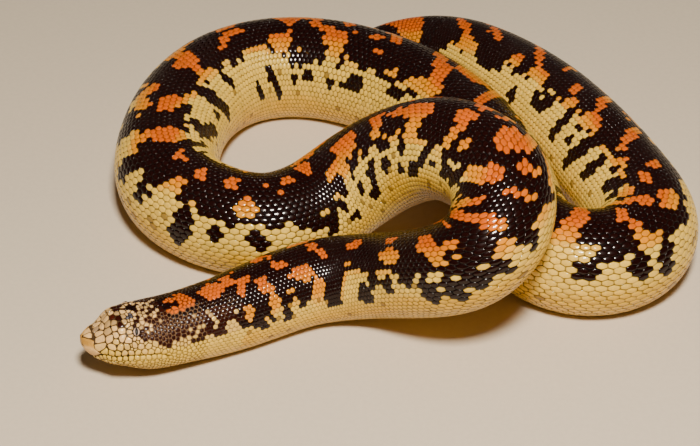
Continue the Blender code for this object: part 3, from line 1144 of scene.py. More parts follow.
def clipped(polygon: Array, direction: Array, limit: float) -> Array:
    """Cuts off the part of a polygon that lies beyond a limit in a direction.

    Args:
        polygon: its corners in order.
        direction: a direction of length one.
        limit: how far the polygon may reach in it.

    Returns:
        The corners of what is left.
    """
    beyond = polygon @ direction - limit
    if np.all(beyond <= 0):
        return polygon
    kept = []
    for i in range(len(polygon)):
        j = (i + 1) % len(polygon)
        if beyond[i] <= 0:
            kept.append(polygon[i])
        if (beyond[i] <= 0) != (beyond[j] <= 0):
            part = beyond[i] / (beyond[i] - beyond[j])
            kept.append(polygon[i] + part * (polygon[j] - polygon[i]))
    return np.array(kept).reshape(-1, 2)


def rounded(polygon: Array, count: int, corner: float) -> Array:
    """Rounds the corners of a polygon and spaces points evenly along it.

    Args:
        polygon: its corners in order.
        count: how many points are wanted.
        corner: the share of each edge that the rounding takes at both ends.

    Returns:
        The points, starting on the side of the first axis.
    """
    following = np.roll(polygon, -1, axis=0)
    cut = np.empty((2 * len(polygon), 2))
    cut[0::2] = polygon + corner * (following - polygon)
    cut[1::2] = following - corner * (following - polygon)
    centre = cut.mean(axis=0)
    bearing = np.arctan2(cut[:, 1] - centre[1], cut[:, 0] - centre[0])
    cut = np.roll(cut, -int(np.argmin(np.abs(bearing))), axis=0)
    area = np.sum(cut[:, 0] * np.roll(cut[:, 1], -1) - cut[:, 1] * np.roll(cut[:, 0], -1))
    if area < 0:
        cut = np.roll(cut[::-1], 1, axis=0)
    loop = np.vstack([cut, cut[:1]])
    gone = gone_by(loop)
    at = np.linspace(0, gone[-1], count, endpoint=False)
    return np.column_stack([np.interp(at, gone, axis) for axis in loop.T])


@dataclass
class Seeds:
    """The middles of plates, before their edges are found."""

    chart: Chart
    flat: Array = field(default_factory=lambda: np.empty((0, 2)))
    size: Array = field(default_factory=lambda: np.empty(0))
    built: Array = field(default_factory=lambda: np.empty(0, bool))

    def add(self, flat: Array, size: float, built: bool = True, room: float = 0.0) -> None:
        """Adds middles, leaving out those too close to the ones already there.

        Args:
            flat: their places on the chart.
            size: their weight, about half the width of the plate.
            built: whether they become plates or only bound others.
            room: the least distance to those already there.
        """
        if room > 0 and len(self.flat) and len(flat):
            flat = flat[distance_to(self.chart.spots(flat), self.chart.spots(self.flat)) > room]
        self.flat = np.vstack([self.flat, flat])
        self.size = np.concatenate([self.size, np.full(len(flat), size)])
        self.built = np.concatenate([self.built, np.full(len(flat), built)])

    def kept(self, which: Array) -> "Seeds":
        """Those of the middles that are wanted."""
        return Seeds(self.chart, self.flat[which], self.size[which], self.built[which])


@dataclass
class PlateField:
    """Irregular plates that share a patch of the body without gaps."""

    chart: Chart
    markings: Markings
    name: str
    seam: float = 0.05
    speckled_seam: float = 0.08
    snout_seam: float = 0.07  # how much wider the seams of the snout are
    fence_gap: float = 0.07
    corner: float = 0.16  # share of an edge that a rounded corner takes
    least_width: float = 0.35
    insets: Floats = (0.0, 0.06, 0.24)  # of each ring from the outline
    rise: Floats = (0.0, 0.45, 0.9, 1.0)  # of each ring and the top, for the painted shade towards the rim
    patch: Floats = (1.0, 0.8, 0.45, 0.0)  # reach of each ring and the top on the map
    spokes: int = 14
    seed: int = 5

    def outline(
        self, i: int, seeds: Seeds, axes: tuple[Array, ...], gap: float, fences: list[Array]
    ) -> Array:
        """Finds the edge of one plate, half way to its neighbours.

        Args:
            i: the number of its seed.
            seeds: the middles.
            axes: the point and the directions at each of them.
            gap: the width of the seam round it.
            fences: lines that no plate crosses.

        Returns:
            Its corners as steps from the seed, none where there is no room.
        """
        spot, first, second = axes
        size = seeds.size[i]
        offset = spot - spot[i]
        away = np.linalg.norm(offset, axis=1)
        reach = 4.6 * size + 1.2
        near = np.flatnonzero((away < reach) & (away > 1e-6))
        bounds = []
        for j in near[np.argsort(away[near])]:
            split = (away[j] ** 2 + size**2 - seeds.size[j] ** 2) / (2 * away[j])
            bounds.append((offset[j], split - gap / 2))
        for fence in fences:
            way = fence - spot[i]
            length = np.linalg.norm(way, axis=1)
            nearest = int(np.argmin(length))
            if length[nearest] < reach:
                bounds.append((way[nearest], length[nearest] - self.fence_gap))
        angles = np.linspace(0, 2 * math.pi, 9)[:-1]
        shape = 2.5 * size * np.array([(math.cos(a), math.sin(a)) for a in angles])
        for target, limit in bounds:
            direction = np.array([target @ first[i], target @ second[i]])
            direction /= max(np.linalg.norm(direction), 1e-9)
            shape = clipped(shape, direction, limit)
            if len(shape) < 3:
                break
        return shape

    def outlines(self, seeds: Seeds, fences: list[Array]) -> tuple[Array, Array]:
        """Finds the edges of all the plates.

        Args:
            seeds: the middles.
            fences: lines that no plate crosses.

        Returns:
            The seeds that became plates, by number, and their outlines as steps from them.
        """
        along, share = self.chart.rolled(seeds.flat)
        axes = self.chart.body.axes(along, share)[:3]
        speckle = self.markings.speckle(along, self.chart.turns(seeds.flat))
        gap = mixed(self.seam, self.speckled_seam, speckle)
        if self.chart.form:
            gap = gap + self.snout_seam * (1 - fade(along, 11.0, 16.0))
        whole, shapes = [], []
        for i in np.flatnonzero(seeds.built):
            shape = self.outline(i, seeds, axes, gap[i], fences)
            if len(shape) < 3 or np.ptp(shape, axis=0).min() < self.least_width:
                continue
            whole.append(i)
            shapes.append(rounded(shape, self.spokes, self.corner))
        return np.array(whole), np.array(shapes)

    def build(self, seeds: Seeds, fences: list[Array]) -> Thing:
        """Makes the plates as one mesh.

        Args:
            seeds: the middles.
            fences: lines that no plate crosses.

        Returns:
            The joined plates.
        """
        whole, shapes = self.outlines(seeds, fences)
        draw = np.random.default_rng(self.seed)
        count = len(whole)
        plates = Dome(self.spokes).repeat(self.name, count)
        middle = shapes.mean(axis=1)
        out = shapes - middle[:, None]
        length = np.linalg.norm(out, axis=2, keepdims=True)
        share = [np.maximum(1 - inset / np.maximum(length, 1e-6), 0.45 - inset) for inset in self.insets]
        share.append(np.zeros_like(length))
        steps = np.stack([middle[:, None] + out * part for part in share], axis=1)
        steps = steps[:, plates.ring, plates.spoke].reshape(-1, 2)
        height = plates.level + (plates.level > 0) * draw.uniform(-0.12, 0.1, (count, 1))
        roots = seeds.flat[whole]
        flat = self.chart.walk(np.repeat(roots, len(plates.ring), axis=0), steps)
        move_points(plates.thing, self.chart.lay(flat, height.ravel()))
        self.dress(plates, roots, draw)
        return plates.thing

    def dress(self, plates: Domes, roots: Array, draw: np.random.Generator) -> None:
        """Colours the plates and gives them their map.

        Args:
            plates: the finished plates.
            roots: the middle of each on the chart.
            draw: the seeded source of chance.
        """
        body = self.chart.body
        along, share = self.chart.rolled(roots)
        along = np.clip(along, 0.0, body.length)
        chance = draw.random(len(roots))
        tints = self.markings.tints(along, body.turn(along, share), chance)
        tints = tints * draw.uniform(0.86, 1.08, (len(roots), 1))
        points = points_of(plates.thing).reshape(len(roots), -1, 3)
        offset = points - points.mean(axis=1, keepdims=True)
        _, first, second, _ = body.axes(*self.chart.rolled(roots))
        bearing = np.arctan2(*(np.einsum("ipk,ik->ip", offset, axis) for axis in (second, first)))
        reach = np.array(self.patch)[plates.ring] * PATCH / 2
        patch = np.stack([np.cos(bearing), np.sin(bearing)], axis=2) * reach[None, :, None]
        plates.dress(body, (along, share), tints, np.array(self.rise)[plates.ring], patch)


# ---- skin and scales


class Ladder:
    """Places for columns of scales, spaced by the size of the body there."""

    STEP = 0.25

    def __init__(self, body: Body, spacing: Callable[[Array], Array]) -> None:
        """Counts columns along the body, where spacing gives the room between them."""
        self.at = np.arange(0.0, body.length, self.STEP)
        self.count = np.concatenate([[0.0], np.cumsum(np.diff(self.at) / spacing(self.at)[:-1])])

    def along(self, column: Array) -> Array:
        """The distance from the snout of a column, or of a place between columns."""
        return np.interp(column, self.count, self.at)

    def column(self, along: float) -> int:
        """The first whole column at or after a distance."""
        return int(math.ceil(np.interp(along, self.at, self.count)))


DORSAL_ROWS = 49
DORSAL_SHARE = 0.87  # share of the girth that the dorsal rows cover
ROW_SHARE = DORSAL_SHARE / (DORSAL_ROWS / 2)
HEAD_BORDER = 33.0  # behind it the scales stand in even rows
TAIL_BORDER = 688.0  # behind it there is room for fewer rows


def dorsal_ladder(body: Body) -> Ladder:
    """Columns of dorsal scales, each scale a little longer than its row is wide."""
    return Ladder(body, lambda at: ROW_SHARE * body.half_girth(at) * (0.98 + 0.12 * fade(at, 16.0, 42.0)))


@dataclass
class Skin:
    """The one closed skin under the coat."""

    body: Body
    coat: Coat
    form: HeadForm
    markings: Markings
    columns: int = 560
    around: int = 120
    seam_tone_and_shade: float = 0.20  # brightness between dark scales: their darker skin, with painted shade
    pale_seam_tone_and_shade: float = 0.62  # and between the pale ones of lips and belly, also with painted shade
    # Painted shade along the slit of the mouth: how much colour is left there, and how wide it is.
    lip_shade: float = 0.22
    lip_gap: float = 0.34  # half the width of the painted shade along the slit between the lips
    net: float = 0.40  # how pale the net between the speckled scales is
    merge: float = 2e-6

    def build(self) -> Thing:
        """Rolls a flat grid into the whole animal and closes it."""
        start_clean()
        bpy.ops.mesh.primitive_grid_add(x_subdivisions=self.columns, y_subdivisions=self.around, size=1.0)
        skin = bpy.context.object
        skin.name = "skin"
        flat = points_of(skin) + 0.5
        length = self.body.length
        parts = [0.0, 0.02, 0.17, 0.97, 1.0]
        along = np.interp(flat[:, 0], parts, [-END_CAP, 2.0, 36.0, length - 12, length + END_CAP])
        share = 2 * flat[:, 1] - 1
        inside = np.clip(along, 0.0, length)
        move_points(skin, self.coat.lay(along, share, np.zeros(len(along)), self.form))
        paint(skin, self.tints(inside, share, self.body.spot(along, share)), np.zeros(len(inside)))
        numbers = corner_points(skin)
        middles = along[numbers.reshape(-1, 4)].mean(axis=1)
        strip = np.repeat(strip_of(self.body, np.clip(middles, 0, length)), 4)
        add_map(skin, unwrapped(self.body, inside[numbers], share[numbers], strip))
        close_mesh(skin, self.merge)
        return skin

    def tints(self, along: Array, share: Array, spot: Array) -> Array:
        """The colours between the scales: those of the scales, darker, partly their own darker skin and
        partly painted shade.

        Args:
            along, share: distances and shares of the places.
            spot: the points of the surface there.

        Returns:
            Their colours.
        """
        turn = self.body.turn(along, share)
        tints = self.markings.tints(along, turn, np.full(len(along), 0.5))
        lips = 100.0 - 36.0 * fade(along, 10.0, 16.0) + 18.0 * fade(along, 20.0, 40.0)
        pale = fade(np.abs(turn), lips, lips + 28.0)
        # Painted shade in the seams: deepest on the head, least between the pale scales.
        tone = self.seam_tone_and_shade * (0.35 + 0.65 * fade(along, 15.0, 40.0))
        tone = tone + (self.pale_seam_tone_and_shade - tone) * pale
        tints = tints * tone[:, None] * (WARM_SHADE + (1 - WARM_SHADE) * pale[:, None])
        # Painted shade: a dark line along the slit of the mouth on both sides.
        near = np.flatnonzero(along < self.form.END)
        for side in Side:
            away = distance_to(spot[near], self.form.trace(MOUTH_LINE, side))
            tints[near[away < self.lip_gap]] *= self.lip_shade
        return toned(tints, SPECKLE_TAN, self.net * self.markings.speckle(along, turn))


SCALE_RISE = np.array([0.0, 0.5, 0.9, 1.0])  # of each ring and the top, for the painted shade towards the rim


@dataclass
class ScaleRows:
    """The small domed scales of the back and sides, in slanting rows."""

    body: Body
    coat: Coat
    markings: Markings
    spokes: int = 12
    pieces: int = 8
    half_length: float = 0.497  # in columns
    half_width: float = 0.575  # in rows
    swell: float = 0.11  # how much the six corners stand out
    overlap: float = 0.07  # how much longer a scale is behind than in front
    lean: float = 0.30  # how much higher the hind end of a scale stands
    seed: int = 23

    def outline(self, spoke: Array) -> Array:
        """The edge of one scale, in columns along and rows across."""
        angle = spoke * 2 * np.pi / self.spokes
        swell = 1.0 + self.swell * (1 - np.cos(6 * angle)) / 2
        across = -self.half_width * np.sin(angle) * swell
        down = self.half_length * np.cos(angle) * swell
        return np.column_stack([np.where(down > 0, down * (1 + 2 * self.overlap), down), across])

    def piece(self, number: int, ladder: Ladder, first: int, last: int) -> Thing:
        """Makes the scales of a run of columns.

        Args:
            number: the place of this piece in the coat.
            ladder: where the columns stand.
            first, last: its first column, and the one after its last.

        Returns:
            The joined scales.
        """
        rows = np.arange(DORSAL_ROWS) - DORSAL_ROWS // 2
        column, row = np.meshgrid(np.arange(first, last), rows, indexing="ij")
        column, row = column.ravel().astype(float), row.ravel()
        column = column + 0.5 * (row % 2)
        count = len(column)
        draw = np.random.default_rng(self.seed + number)
        scales = Dome(self.spokes).repeat(f"scales_{number}", count)
        edge = self.outline(scales.spoke) * scales.share[:, None]
        size = draw.uniform(0.94, 1.03, (count, 1))
        place = column[:, None] + edge[:, 0] * size + draw.normal(0, 0.012, (count, 1))
        share = (row[:, None] + edge[:, 1] * size + draw.normal(0, 0.014, (count, 1))) * ROW_SHARE
        raised = scales.level > 0
        level = scales.level + self.lean * edge[:, 0] * (scales.level < 0.8) * raised
        height = level + draw.uniform(-0.08, 0.04, (count, 1)) * raised
        along = ladder.along(place)
        move_points(scales.thing, self.coat.lay(along.ravel(), share.ravel(), height.ravel()))
        chance = draw.random(count)
        along, share = ladder.along(column), row * ROW_SHARE
        tints = self.markings.tints(along, self.body.turn(along, share), chance)
        tints = tints * draw.uniform(0.88, 1.08, (count, 1))
        # Painted shade towards the buried rim of each scale; the rise is also lower towards the hind end
        # and higher at the front, so the hind part is darker.
        rise = SCALE_RISE[scales.ring] - 0.25 * edge[:, 0]
        scales.dress(self.body, (along, share), tints, rise, edge[None] * PATCH)
        return scales.thing

    def build(self) -> list[Thing]:
        """Makes the whole coat of small scales, in pieces of nearly equal size."""
        ladder = dorsal_ladder(self.body)
        ends = np.linspace(ladder.column(HEAD_BORDER), ladder.column(TAIL_BORDER), self.pieces + 1)
        runs = zip(np.round(ends).astype(int), np.round(ends[1:]).astype(int))
        return [self.piece(number, ladder, *run) for number, run in enumerate(runs, 1)]


@dataclass
class BellyPlates:
    """The wide plates that cross the belly, one behind the other."""

    body: Body
    coat: Coat
    markings: Markings
    start: float = 34.5
    end: float = 716.0
    spokes: int = 28
    length: float = 0.215  # length of a plate as a share of the radius of the body
    half_length: float = 0.53  # in columns
    overlap: float = 0.03
    squareness: float = 0.55
    insets_down: Floats = (1.0, 0.88, 0.6, 0.0)  # of each ring and the middle
    insets_over: Floats = (1.0, 0.97, 0.88, 0.0)
    side_gap: float = 0.006  # share of the girth left free beside the dorsal rows
    lean: float = 0.22
    seed: int = 31

    def outline(self, plates: Domes) -> Array:
        """The shape of one plate, between -1 and 1 along and across."""
        angle = plates.spoke * 2 * np.pi / self.spokes
        ways = []
        for way, insets in ((np.cos(angle), self.insets_down), (np.sin(angle), self.insets_over)):
            ways.append(np.sign(way) * np.abs(way) ** self.squareness * np.array(insets)[plates.ring])
        return np.column_stack(ways)

    def build(self) -> Thing:
        """Makes the plates as one mesh."""
        ladder = Ladder(self.body, lambda at: self.length * profile(GIRTH, at))
        column = np.arange(ladder.column(self.start), ladder.column(self.end)).astype(float)
        count = len(column)
        draw = np.random.default_rng(self.seed)
        plates = Dome(self.spokes).repeat("belly_plates", count)
        edge = self.outline(plates)
        place = column[:, None] + self.half_length * edge[:, 0] + self.overlap * (edge[:, 0] > 0)
        half = 1.0 - DORSAL_SHARE - self.side_gap
        share = np.where(edge[:, 1] < 0, -1, 1) * (1.0 - half * np.abs(edge[:, 1]))
        level = plates.level
        height = np.minimum(level + self.lean * edge[:, 0] * (level < 0.8) * (level > 0), 1.0)
        along = ladder.along(place).ravel()
        move_points(plates.thing, self.coat.lay(along, np.tile(share, count), np.tile(height, count)))
        middle = ladder.along(column)
        tints = self.markings.tints(middle, np.full(count, 170.0), np.full(count, 0.5))
        tints = tints * draw.uniform(0.93, 1.04, (count, 1))
        roots = (middle, np.full(count, 0.995))
        plates.dress(self.body, roots, tints, SCALE_RISE[plates.ring], edge[None] * PATCH / 2)
        return plates.thing


# ---- head, tail and eyes

# The edge of the great shovel plate on the snout: turn from the back, distance from the tip.
ROSTRAL_EDGE = [
    (0, 0.35), (6, 0.45), (20, 1.1), (32, 1.8), (43, 3.3), (52, 3.15), (60, 3), (72, 3.05), (84, 3.2),
    (92, 3.9), (97, 4.9), (104, 4.5), (125, 3.5), (150, 2.7), (180, 2.4),
]
EYE_OPENING = (0.95, 1.32)  # half its size tailwards and round the head
NOSTRIL_OPENING = (0.24, 0.62)
CAP_RINGS = ((1.0, -0.4), (0.96, 0.5), (0.88, 0.9), (0.6, 0.98), (0.3, 1.0))
CAP_MAP = 16.0  # width of the chart that the map of a cap shows


def cap_plate(name: str, chart: Chart, edge: Array, seam: float) -> tuple[Thing, Array]:
    """Makes one plate that wraps round an end of the body.

    Args:
        name: the name of the plate.
        chart: the chart of that end.
        edge: its outline round the tip, on the chart.
        seam: how far it stays inside the outline.

    Returns:
        The plate, and the place of each of its points on the chart.
    """
    plate = Dome(len(edge), CAP_RINGS).repeat(name, 1)
    edge = edge * (1 - seam / np.linalg.norm(edge, axis=1, keepdims=True))
    flat = edge[plate.spoke] * plate.share[:, None]
    move_points(plate.thing, chart.lay(flat, plate.level))
    close_mesh(plate.thing)
    add_map(plate.thing, (0.5 + flat / CAP_MAP)[corner_points(plate.thing)])
    return plate.thing, flat


@dataclass(frozen=True)
class LipRow:
    """A row of plates that follows the mouth."""

    spacing: float
    offset: float  # above the mouth, negative below it
    span: Pair  # shares of the mouth at which the row starts and ends
    size: float
    room: float
    jitter: float = 0.0


LIP_ROWS = (
    LipRow(1.85, 1.05, (0.40, 0.98), 0.92, 1.3),
    LipRow(1.65, -0.95, (0.06, 0.98), 0.82, 1.3),
    LipRow(1.95, 2.95, (0.42, 0.85), 0.92, 1.5, 0.25),
    LipRow(1.9, -2.6, (0.20, 0.9), 0.9, 1.35, 0.12),
)


@dataclass
class HeadPlates:
    """The plates of the head: shovel plate, lips, eye rings, snout, crown and chin."""

    body: Body
    coat: Coat
    form: HeadForm
    markings: Markings
    eye_ring: Pair = (EYE_OPENING[0] + 0.62, EYE_OPENING[1] + 0.58)
    eye_plates: int = 10
    rostral_seam: float = 0.12
    rostral_spokes: int = 48
    crown_reach: float = 76.0  # degrees that the plates of the crown cover on each side
    crown_spacing: float = 1.55
    small_spacing: float = 0.98
    eye_room: float = 1.35  # no middle is nearer to the middle of an eye
    lip_room: float = 0.45  # or to the mouth
    rostral_room: float = 0.35  # or to the shovel plate
    seed: int = 41

    def __post_init__(self) -> None:
        """Opens the chart of the head and finds the eyes and the mouth on it."""
        self.chart = Chart(self.body, self.coat, self.form)
        self.draw = np.random.default_rng(self.seed)
        self.eyes = [self.at(EYE_AT[0], side * EYE_AT[1]) for side in Side]
        self.lips = [self.form.trace(MOUTH_LINE, side) for side in Side]

    def at(self, along: object, turn: object) -> Array:
        """Places on the chart, from distances and turns."""
        along, turn = np.broadcast_arrays(np.atleast_1d(along).astype(float), turn)
        return self.chart.flat(along, self.body.share(along, turn))

    def oval(self, middle: Array, half: Pair, count: int) -> Array:
        """Places on the chart spaced along an oval round a middle."""
        angle = np.arange(count) * 2 * np.pi / count
        steps = np.column_stack([half[0] * np.cos(angle), half[1] * np.sin(angle)])
        return self.chart.walk(np.repeat(middle, count, axis=0), steps)

    def lip_row(self, side: Side, row: LipRow) -> Array:
        """Places on the chart in a row that follows the mouth.

        Args:
            side: the side of the animal.
            row: the row wanted.

        Returns:
            One place for each plate of the row.
        """
        stops = np.array(MOUTH_LINE)
        dense = np.linspace(0, 1, 300)
        whole = gone_by(self.form.trace(MOUTH_LINE, side))[-1]
        gone = gone_by(self.body.spot(stops[:, 0], self.body.share(*stops.T)))
        table = np.column_stack([gone / gone[-1], stops])
        line = [profile(table, dense, column) for column in (1, 2)]

        def on_mouth(share: Array) -> Array:
            """Places on the chart at shares of the mouth."""
            at, turn = (np.interp(share, dense, values) for values in line)
            return self.at(at, side * turn)

        wanted = np.arange(row.span[0] * whole, row.span[1] * whole, row.spacing) / whole
        flat = on_mouth(wanted)
        spot, first, second, normal = self.body.axes(*self.chart.rolled(flat))
        tangent = unit(self.chart.spots(on_mouth(wanted + 0.01)) - spot)
        upward = side * np.cross(normal, tangent) * row.offset
        return self.chart.walk(flat, np.column_stack([dots(upward, first), dots(upward, second)]))

    def jitter(self, flat: Array, size: float) -> Array:
        """Moves places on the chart a little, each its own way."""
        return self.chart.walk(flat, self.draw.uniform(-size, size, flat.shape))

    def face_seeds(self, seeds: Seeds) -> None:
        """Sets out the plates that have places of their own: eye rings, snout and lips."""
        for side, eye in zip(Side, self.eyes):
            ring = self.oval(eye, self.eye_ring, self.eye_plates)
            seeds.add(self.jitter(ring, 0.08), 0.55)
            seeds.add(self.at([1.6, 4.7, 4.7, 4.7], [side * turn for turn in (14, 19, 41, 67)]), 1.0)
            for row in LIP_ROWS:
                flat = self.lip_row(side, row)
                if row.jitter > 0:
                    flat = self.jitter(flat, row.jitter)
                seeds.add(flat, row.size, room=row.room)
        seeds.add(self.at([4.4, 4.6], [0, 180]), 0.9)

    def crown_seeds(self, seeds: Seeds) -> None:
        """Sets out the larger plates of the snout and the small ones of the crown and throat."""
        for number, at in enumerate(np.arange(3.9, 12.9, self.crown_spacing)):
            reach = self.crown_reach
            count = int(2 * reach / 180.0 * self.body.girth_at(at) / 1.65)
            turns = np.linspace(-reach, reach, count) + (number % 2) * reach / count
            seeds.add(self.jitter(self.at(np.full(count, at), turns), 0.26), 0.82, room=1.38)
        for number, at in enumerate(np.arange(5.6, 28.6, self.small_spacing)):
            count = int(2 * self.body.girth_at(at) / (1.06 + 0.012 * at))
            share = ((np.arange(count) + 0.5 * (number % 2)) / count * 2) % 2 - 1
            share = share[(at > 12.4) | (np.abs(share) > 0.5)]
            flat = self.jitter(self.chart.flat(np.full(len(share), at), share), 0.22)
            seeds.add(flat, 0.55, room=0.86)

    def neck_seeds(self, seeds: Seeds) -> None:
        """Sets out the first rows of the neck, and those behind that bound them."""
        ladder = dorsal_ladder(self.body)
        rows = np.arange(-27, 29)
        border = ladder.column(HEAD_BORDER)
        for column in range(ladder.column(27.5), border + 4):
            at = ladder.along(column + 0.5 * (rows % 2))
            built = column < border
            flat = self.chart.flat(at, np.clip(rows * ROW_SHARE, -1.0, 1.0))
            width = ROW_SHARE * self.body.girth_at(at[0])
            seeds.add(flat, 0.5 * width, built, room=0.80 * width if built else 0.0)

    def fences(self) -> list[Array]:
        """Lines that no plate crosses: mouth, openings and shovel plate."""
        lines = []
        at, turn = np.array(NOSTRIL_LINE).mean(axis=0)
        for side, eye, lips in zip(Side, self.eyes, self.lips):
            lines.append(lips)
            lines.append(self.chart.spots(self.oval(eye, EYE_OPENING, 40)))
            lines.append(self.chart.spots(self.oval(self.at(at, side * turn), NOSTRIL_OPENING, 24)))
        return [*lines, self.chart.spots(self.rostral_edge(160))]

    def rostral_edge(self, count: int) -> Array:
        """The edge of the shovel plate on the chart."""
        turn = np.linspace(-180.0, 180.0, count, endpoint=False)
        return self.at(profile(ROSTRAL_EDGE, np.abs(turn)), turn)

    def inside_openings(self, flat: Array) -> Array:
        """Which places on the chart lie in an eye, the mouth or the shovel plate."""
        spot = self.chart.spots(flat)
        reach = np.hypot(flat[:, 0], flat[:, 1]) - END_CAP
        gone = reach < profile(ROSTRAL_EDGE, np.abs(self.chart.turns(flat))) + self.rostral_room
        for eye, lips in zip(self.eyes, self.lips):
            gone |= distance_to(spot, self.chart.spots(eye)) < self.eye_room
            gone |= distance_to(spot, lips) < self.lip_room
        return gone

    def build(self) -> list[Thing]:
        """Makes the head plates and the shovel plate."""
        seeds = Seeds(self.chart)
        self.face_seeds(seeds)
        self.crown_seeds(seeds)
        self.neck_seeds(seeds)
        seeds = seeds.kept(~self.inside_openings(seeds.flat))
        plates = PlateField(self.chart, self.markings, "head_plates")
        return [plates.build(seeds, self.fences()), self.rostral()]

    def rostral(self) -> Thing:
        """Makes the great shovel plate that wraps round the front of the snout."""
        edge = self.rostral_edge(self.rostral_spokes)
        plate, flat = cap_plate("rostral_plate", self.chart, edge, self.rostral_seam)
        low = fade(np.abs(self.chart.turns(flat)), 66.0, 92.0)
        mottle = 0.92 + 0.12 * ROSTRAL_WAVES.at(*flat.T)[:, None]
        rim = np.linalg.norm(flat, axis=1) / np.linalg.norm(edge, axis=1).max()
        tints = toned(ROSTRAL_YELLOW, PINKISH_CREAM, low) * mottle
        # Painted shade: the plate darkens towards its rim.
        paint(plate, tints, np.clip(2.2 * (1 - rim) + 0.4, 0.4, 1.0))
        return plate


@dataclass
class TailPlates:
    """The last scales of the tail, where rows drop out one by one."""

    body: Body
    coat: Coat
    markings: Markings
    spacing: float = 1.5
    wobble: float = 0.1
    tip: float = 3.0
    tip_spokes: int = 24
    tip_seam: float = 0.1
    seed: int = 53

    def seeds(self, chart: Chart) -> Seeds:
        """Sets out the middles of the scales, ring by ring."""
        draw = np.random.default_rng(self.seed)
        ladder = dorsal_ladder(self.body)
        seeds = Seeds(chart)
        rows = np.arange(-24, 25)
        border = ladder.column(TAIL_BORDER)
        for column in range(border - 3, border):
            at = ladder.along(column + 0.5 * (rows % 2))
            seeds.add(chart.flat(at, rows * ROW_SHARE), 0.7, built=False)
        first = float(ladder.along(np.array([border + 0.2]))[0])
        for number, at in enumerate(np.arange(first, self.body.length - self.tip, self.spacing)):
            reach = DORSAL_SHARE - 0.02 if at < BellyPlates.end else 1.0
            count = max(5, round(2 * reach * self.body.girth_at(at) / (1.02 * self.spacing)))
            share = (np.arange(count) + 0.5 + 0.5 * (number % 2)) / count * 2 - 1
            share = ((share + 1) % 2 - 1) * reach
            flat = chart.flat(np.full(count, at), share)
            flat = chart.walk(flat, draw.uniform(-self.wobble, self.wobble, flat.shape))
            seeds.add(flat, 0.5 * self.spacing, room=0.78 * self.spacing)
        return seeds

    def build(self) -> list[Thing]:
        """Makes the scales as one mesh, and the cone at the tip."""
        chart = Chart(self.body, self.coat)
        bearing = np.arange(self.tip_spokes) * 2 * np.pi / self.tip_spokes
        edge = self.tip * np.column_stack([np.sin(bearing), np.cos(bearing)])
        at = np.arange(TAIL_BORDER - 4, BellyPlates.end, 0.5)
        fences = [self.body.spot(at, np.full(len(at), side * DORSAL_SHARE)) for side in Side]
        fences.append(chart.spots(edge))
        tip, flat = cap_plate("tail_tip", chart, edge, self.tip_seam)
        along, share = chart.rolled(flat)
        along = np.clip(along, 0.0, self.body.length)
        tints = self.markings.tints(along, self.body.turn(along, share), np.full(len(flat), 0.5))
        paint(tip, tints, np.full(len(flat), 0.9))
        plates = PlateField(chart, self.markings, "tail_scales", seed=self.seed)
        return [plates.build(self.seeds(chart), fences), tip]


@dataclass
class Eye:
    """One eye: a glossy ball with a pale iris and an upright slit of a pupil."""

    body: Body
    side: Side
    half_size: Floats = (1.22, 1.62, 1.25)  # tailwards, round, outwards
    depth: float = 0.8  # of its middle below the surface
    probe: float = 0.2
    segments: int = 48
    rings: int = 28

    @property
    def label(self) -> str:
        """The side as a word."""
        return self.side.name.lower()

    def build(self) -> Thing:
        """Makes the ball, with a map of its face that the iris is drawn on."""
        start_clean()
        bpy.ops.mesh.primitive_uv_sphere_add(segments=self.segments, ring_count=self.rings, radius=1.0)
        ball = bpy.context.object
        ball.name = f"{self.label}_eye"
        bpy.ops.object.shade_smooth()
        for layer in list(ball.data.uv_layers):
            ball.data.uv_layers.remove(layer)
        shape = points_of(ball) * self.half_size
        at = np.array([EYE_AT[0]])
        share = self.body.share(at, self.side * EYE_AT[1])
        spot, *axes = self.body.axes(at, share, self.probe)
        move_points(ball, spot[0] - axes[2][0] * self.depth + shape @ np.vstack(axes))
        add_map(ball, (shape[:, :2] / GAZE_WIDTH + 0.5)[corner_points(ball)], "gaze")
        return ball


# ---- finishes

GAZE_WIDTH = 4.0  # width of the face of an eye that its map shows


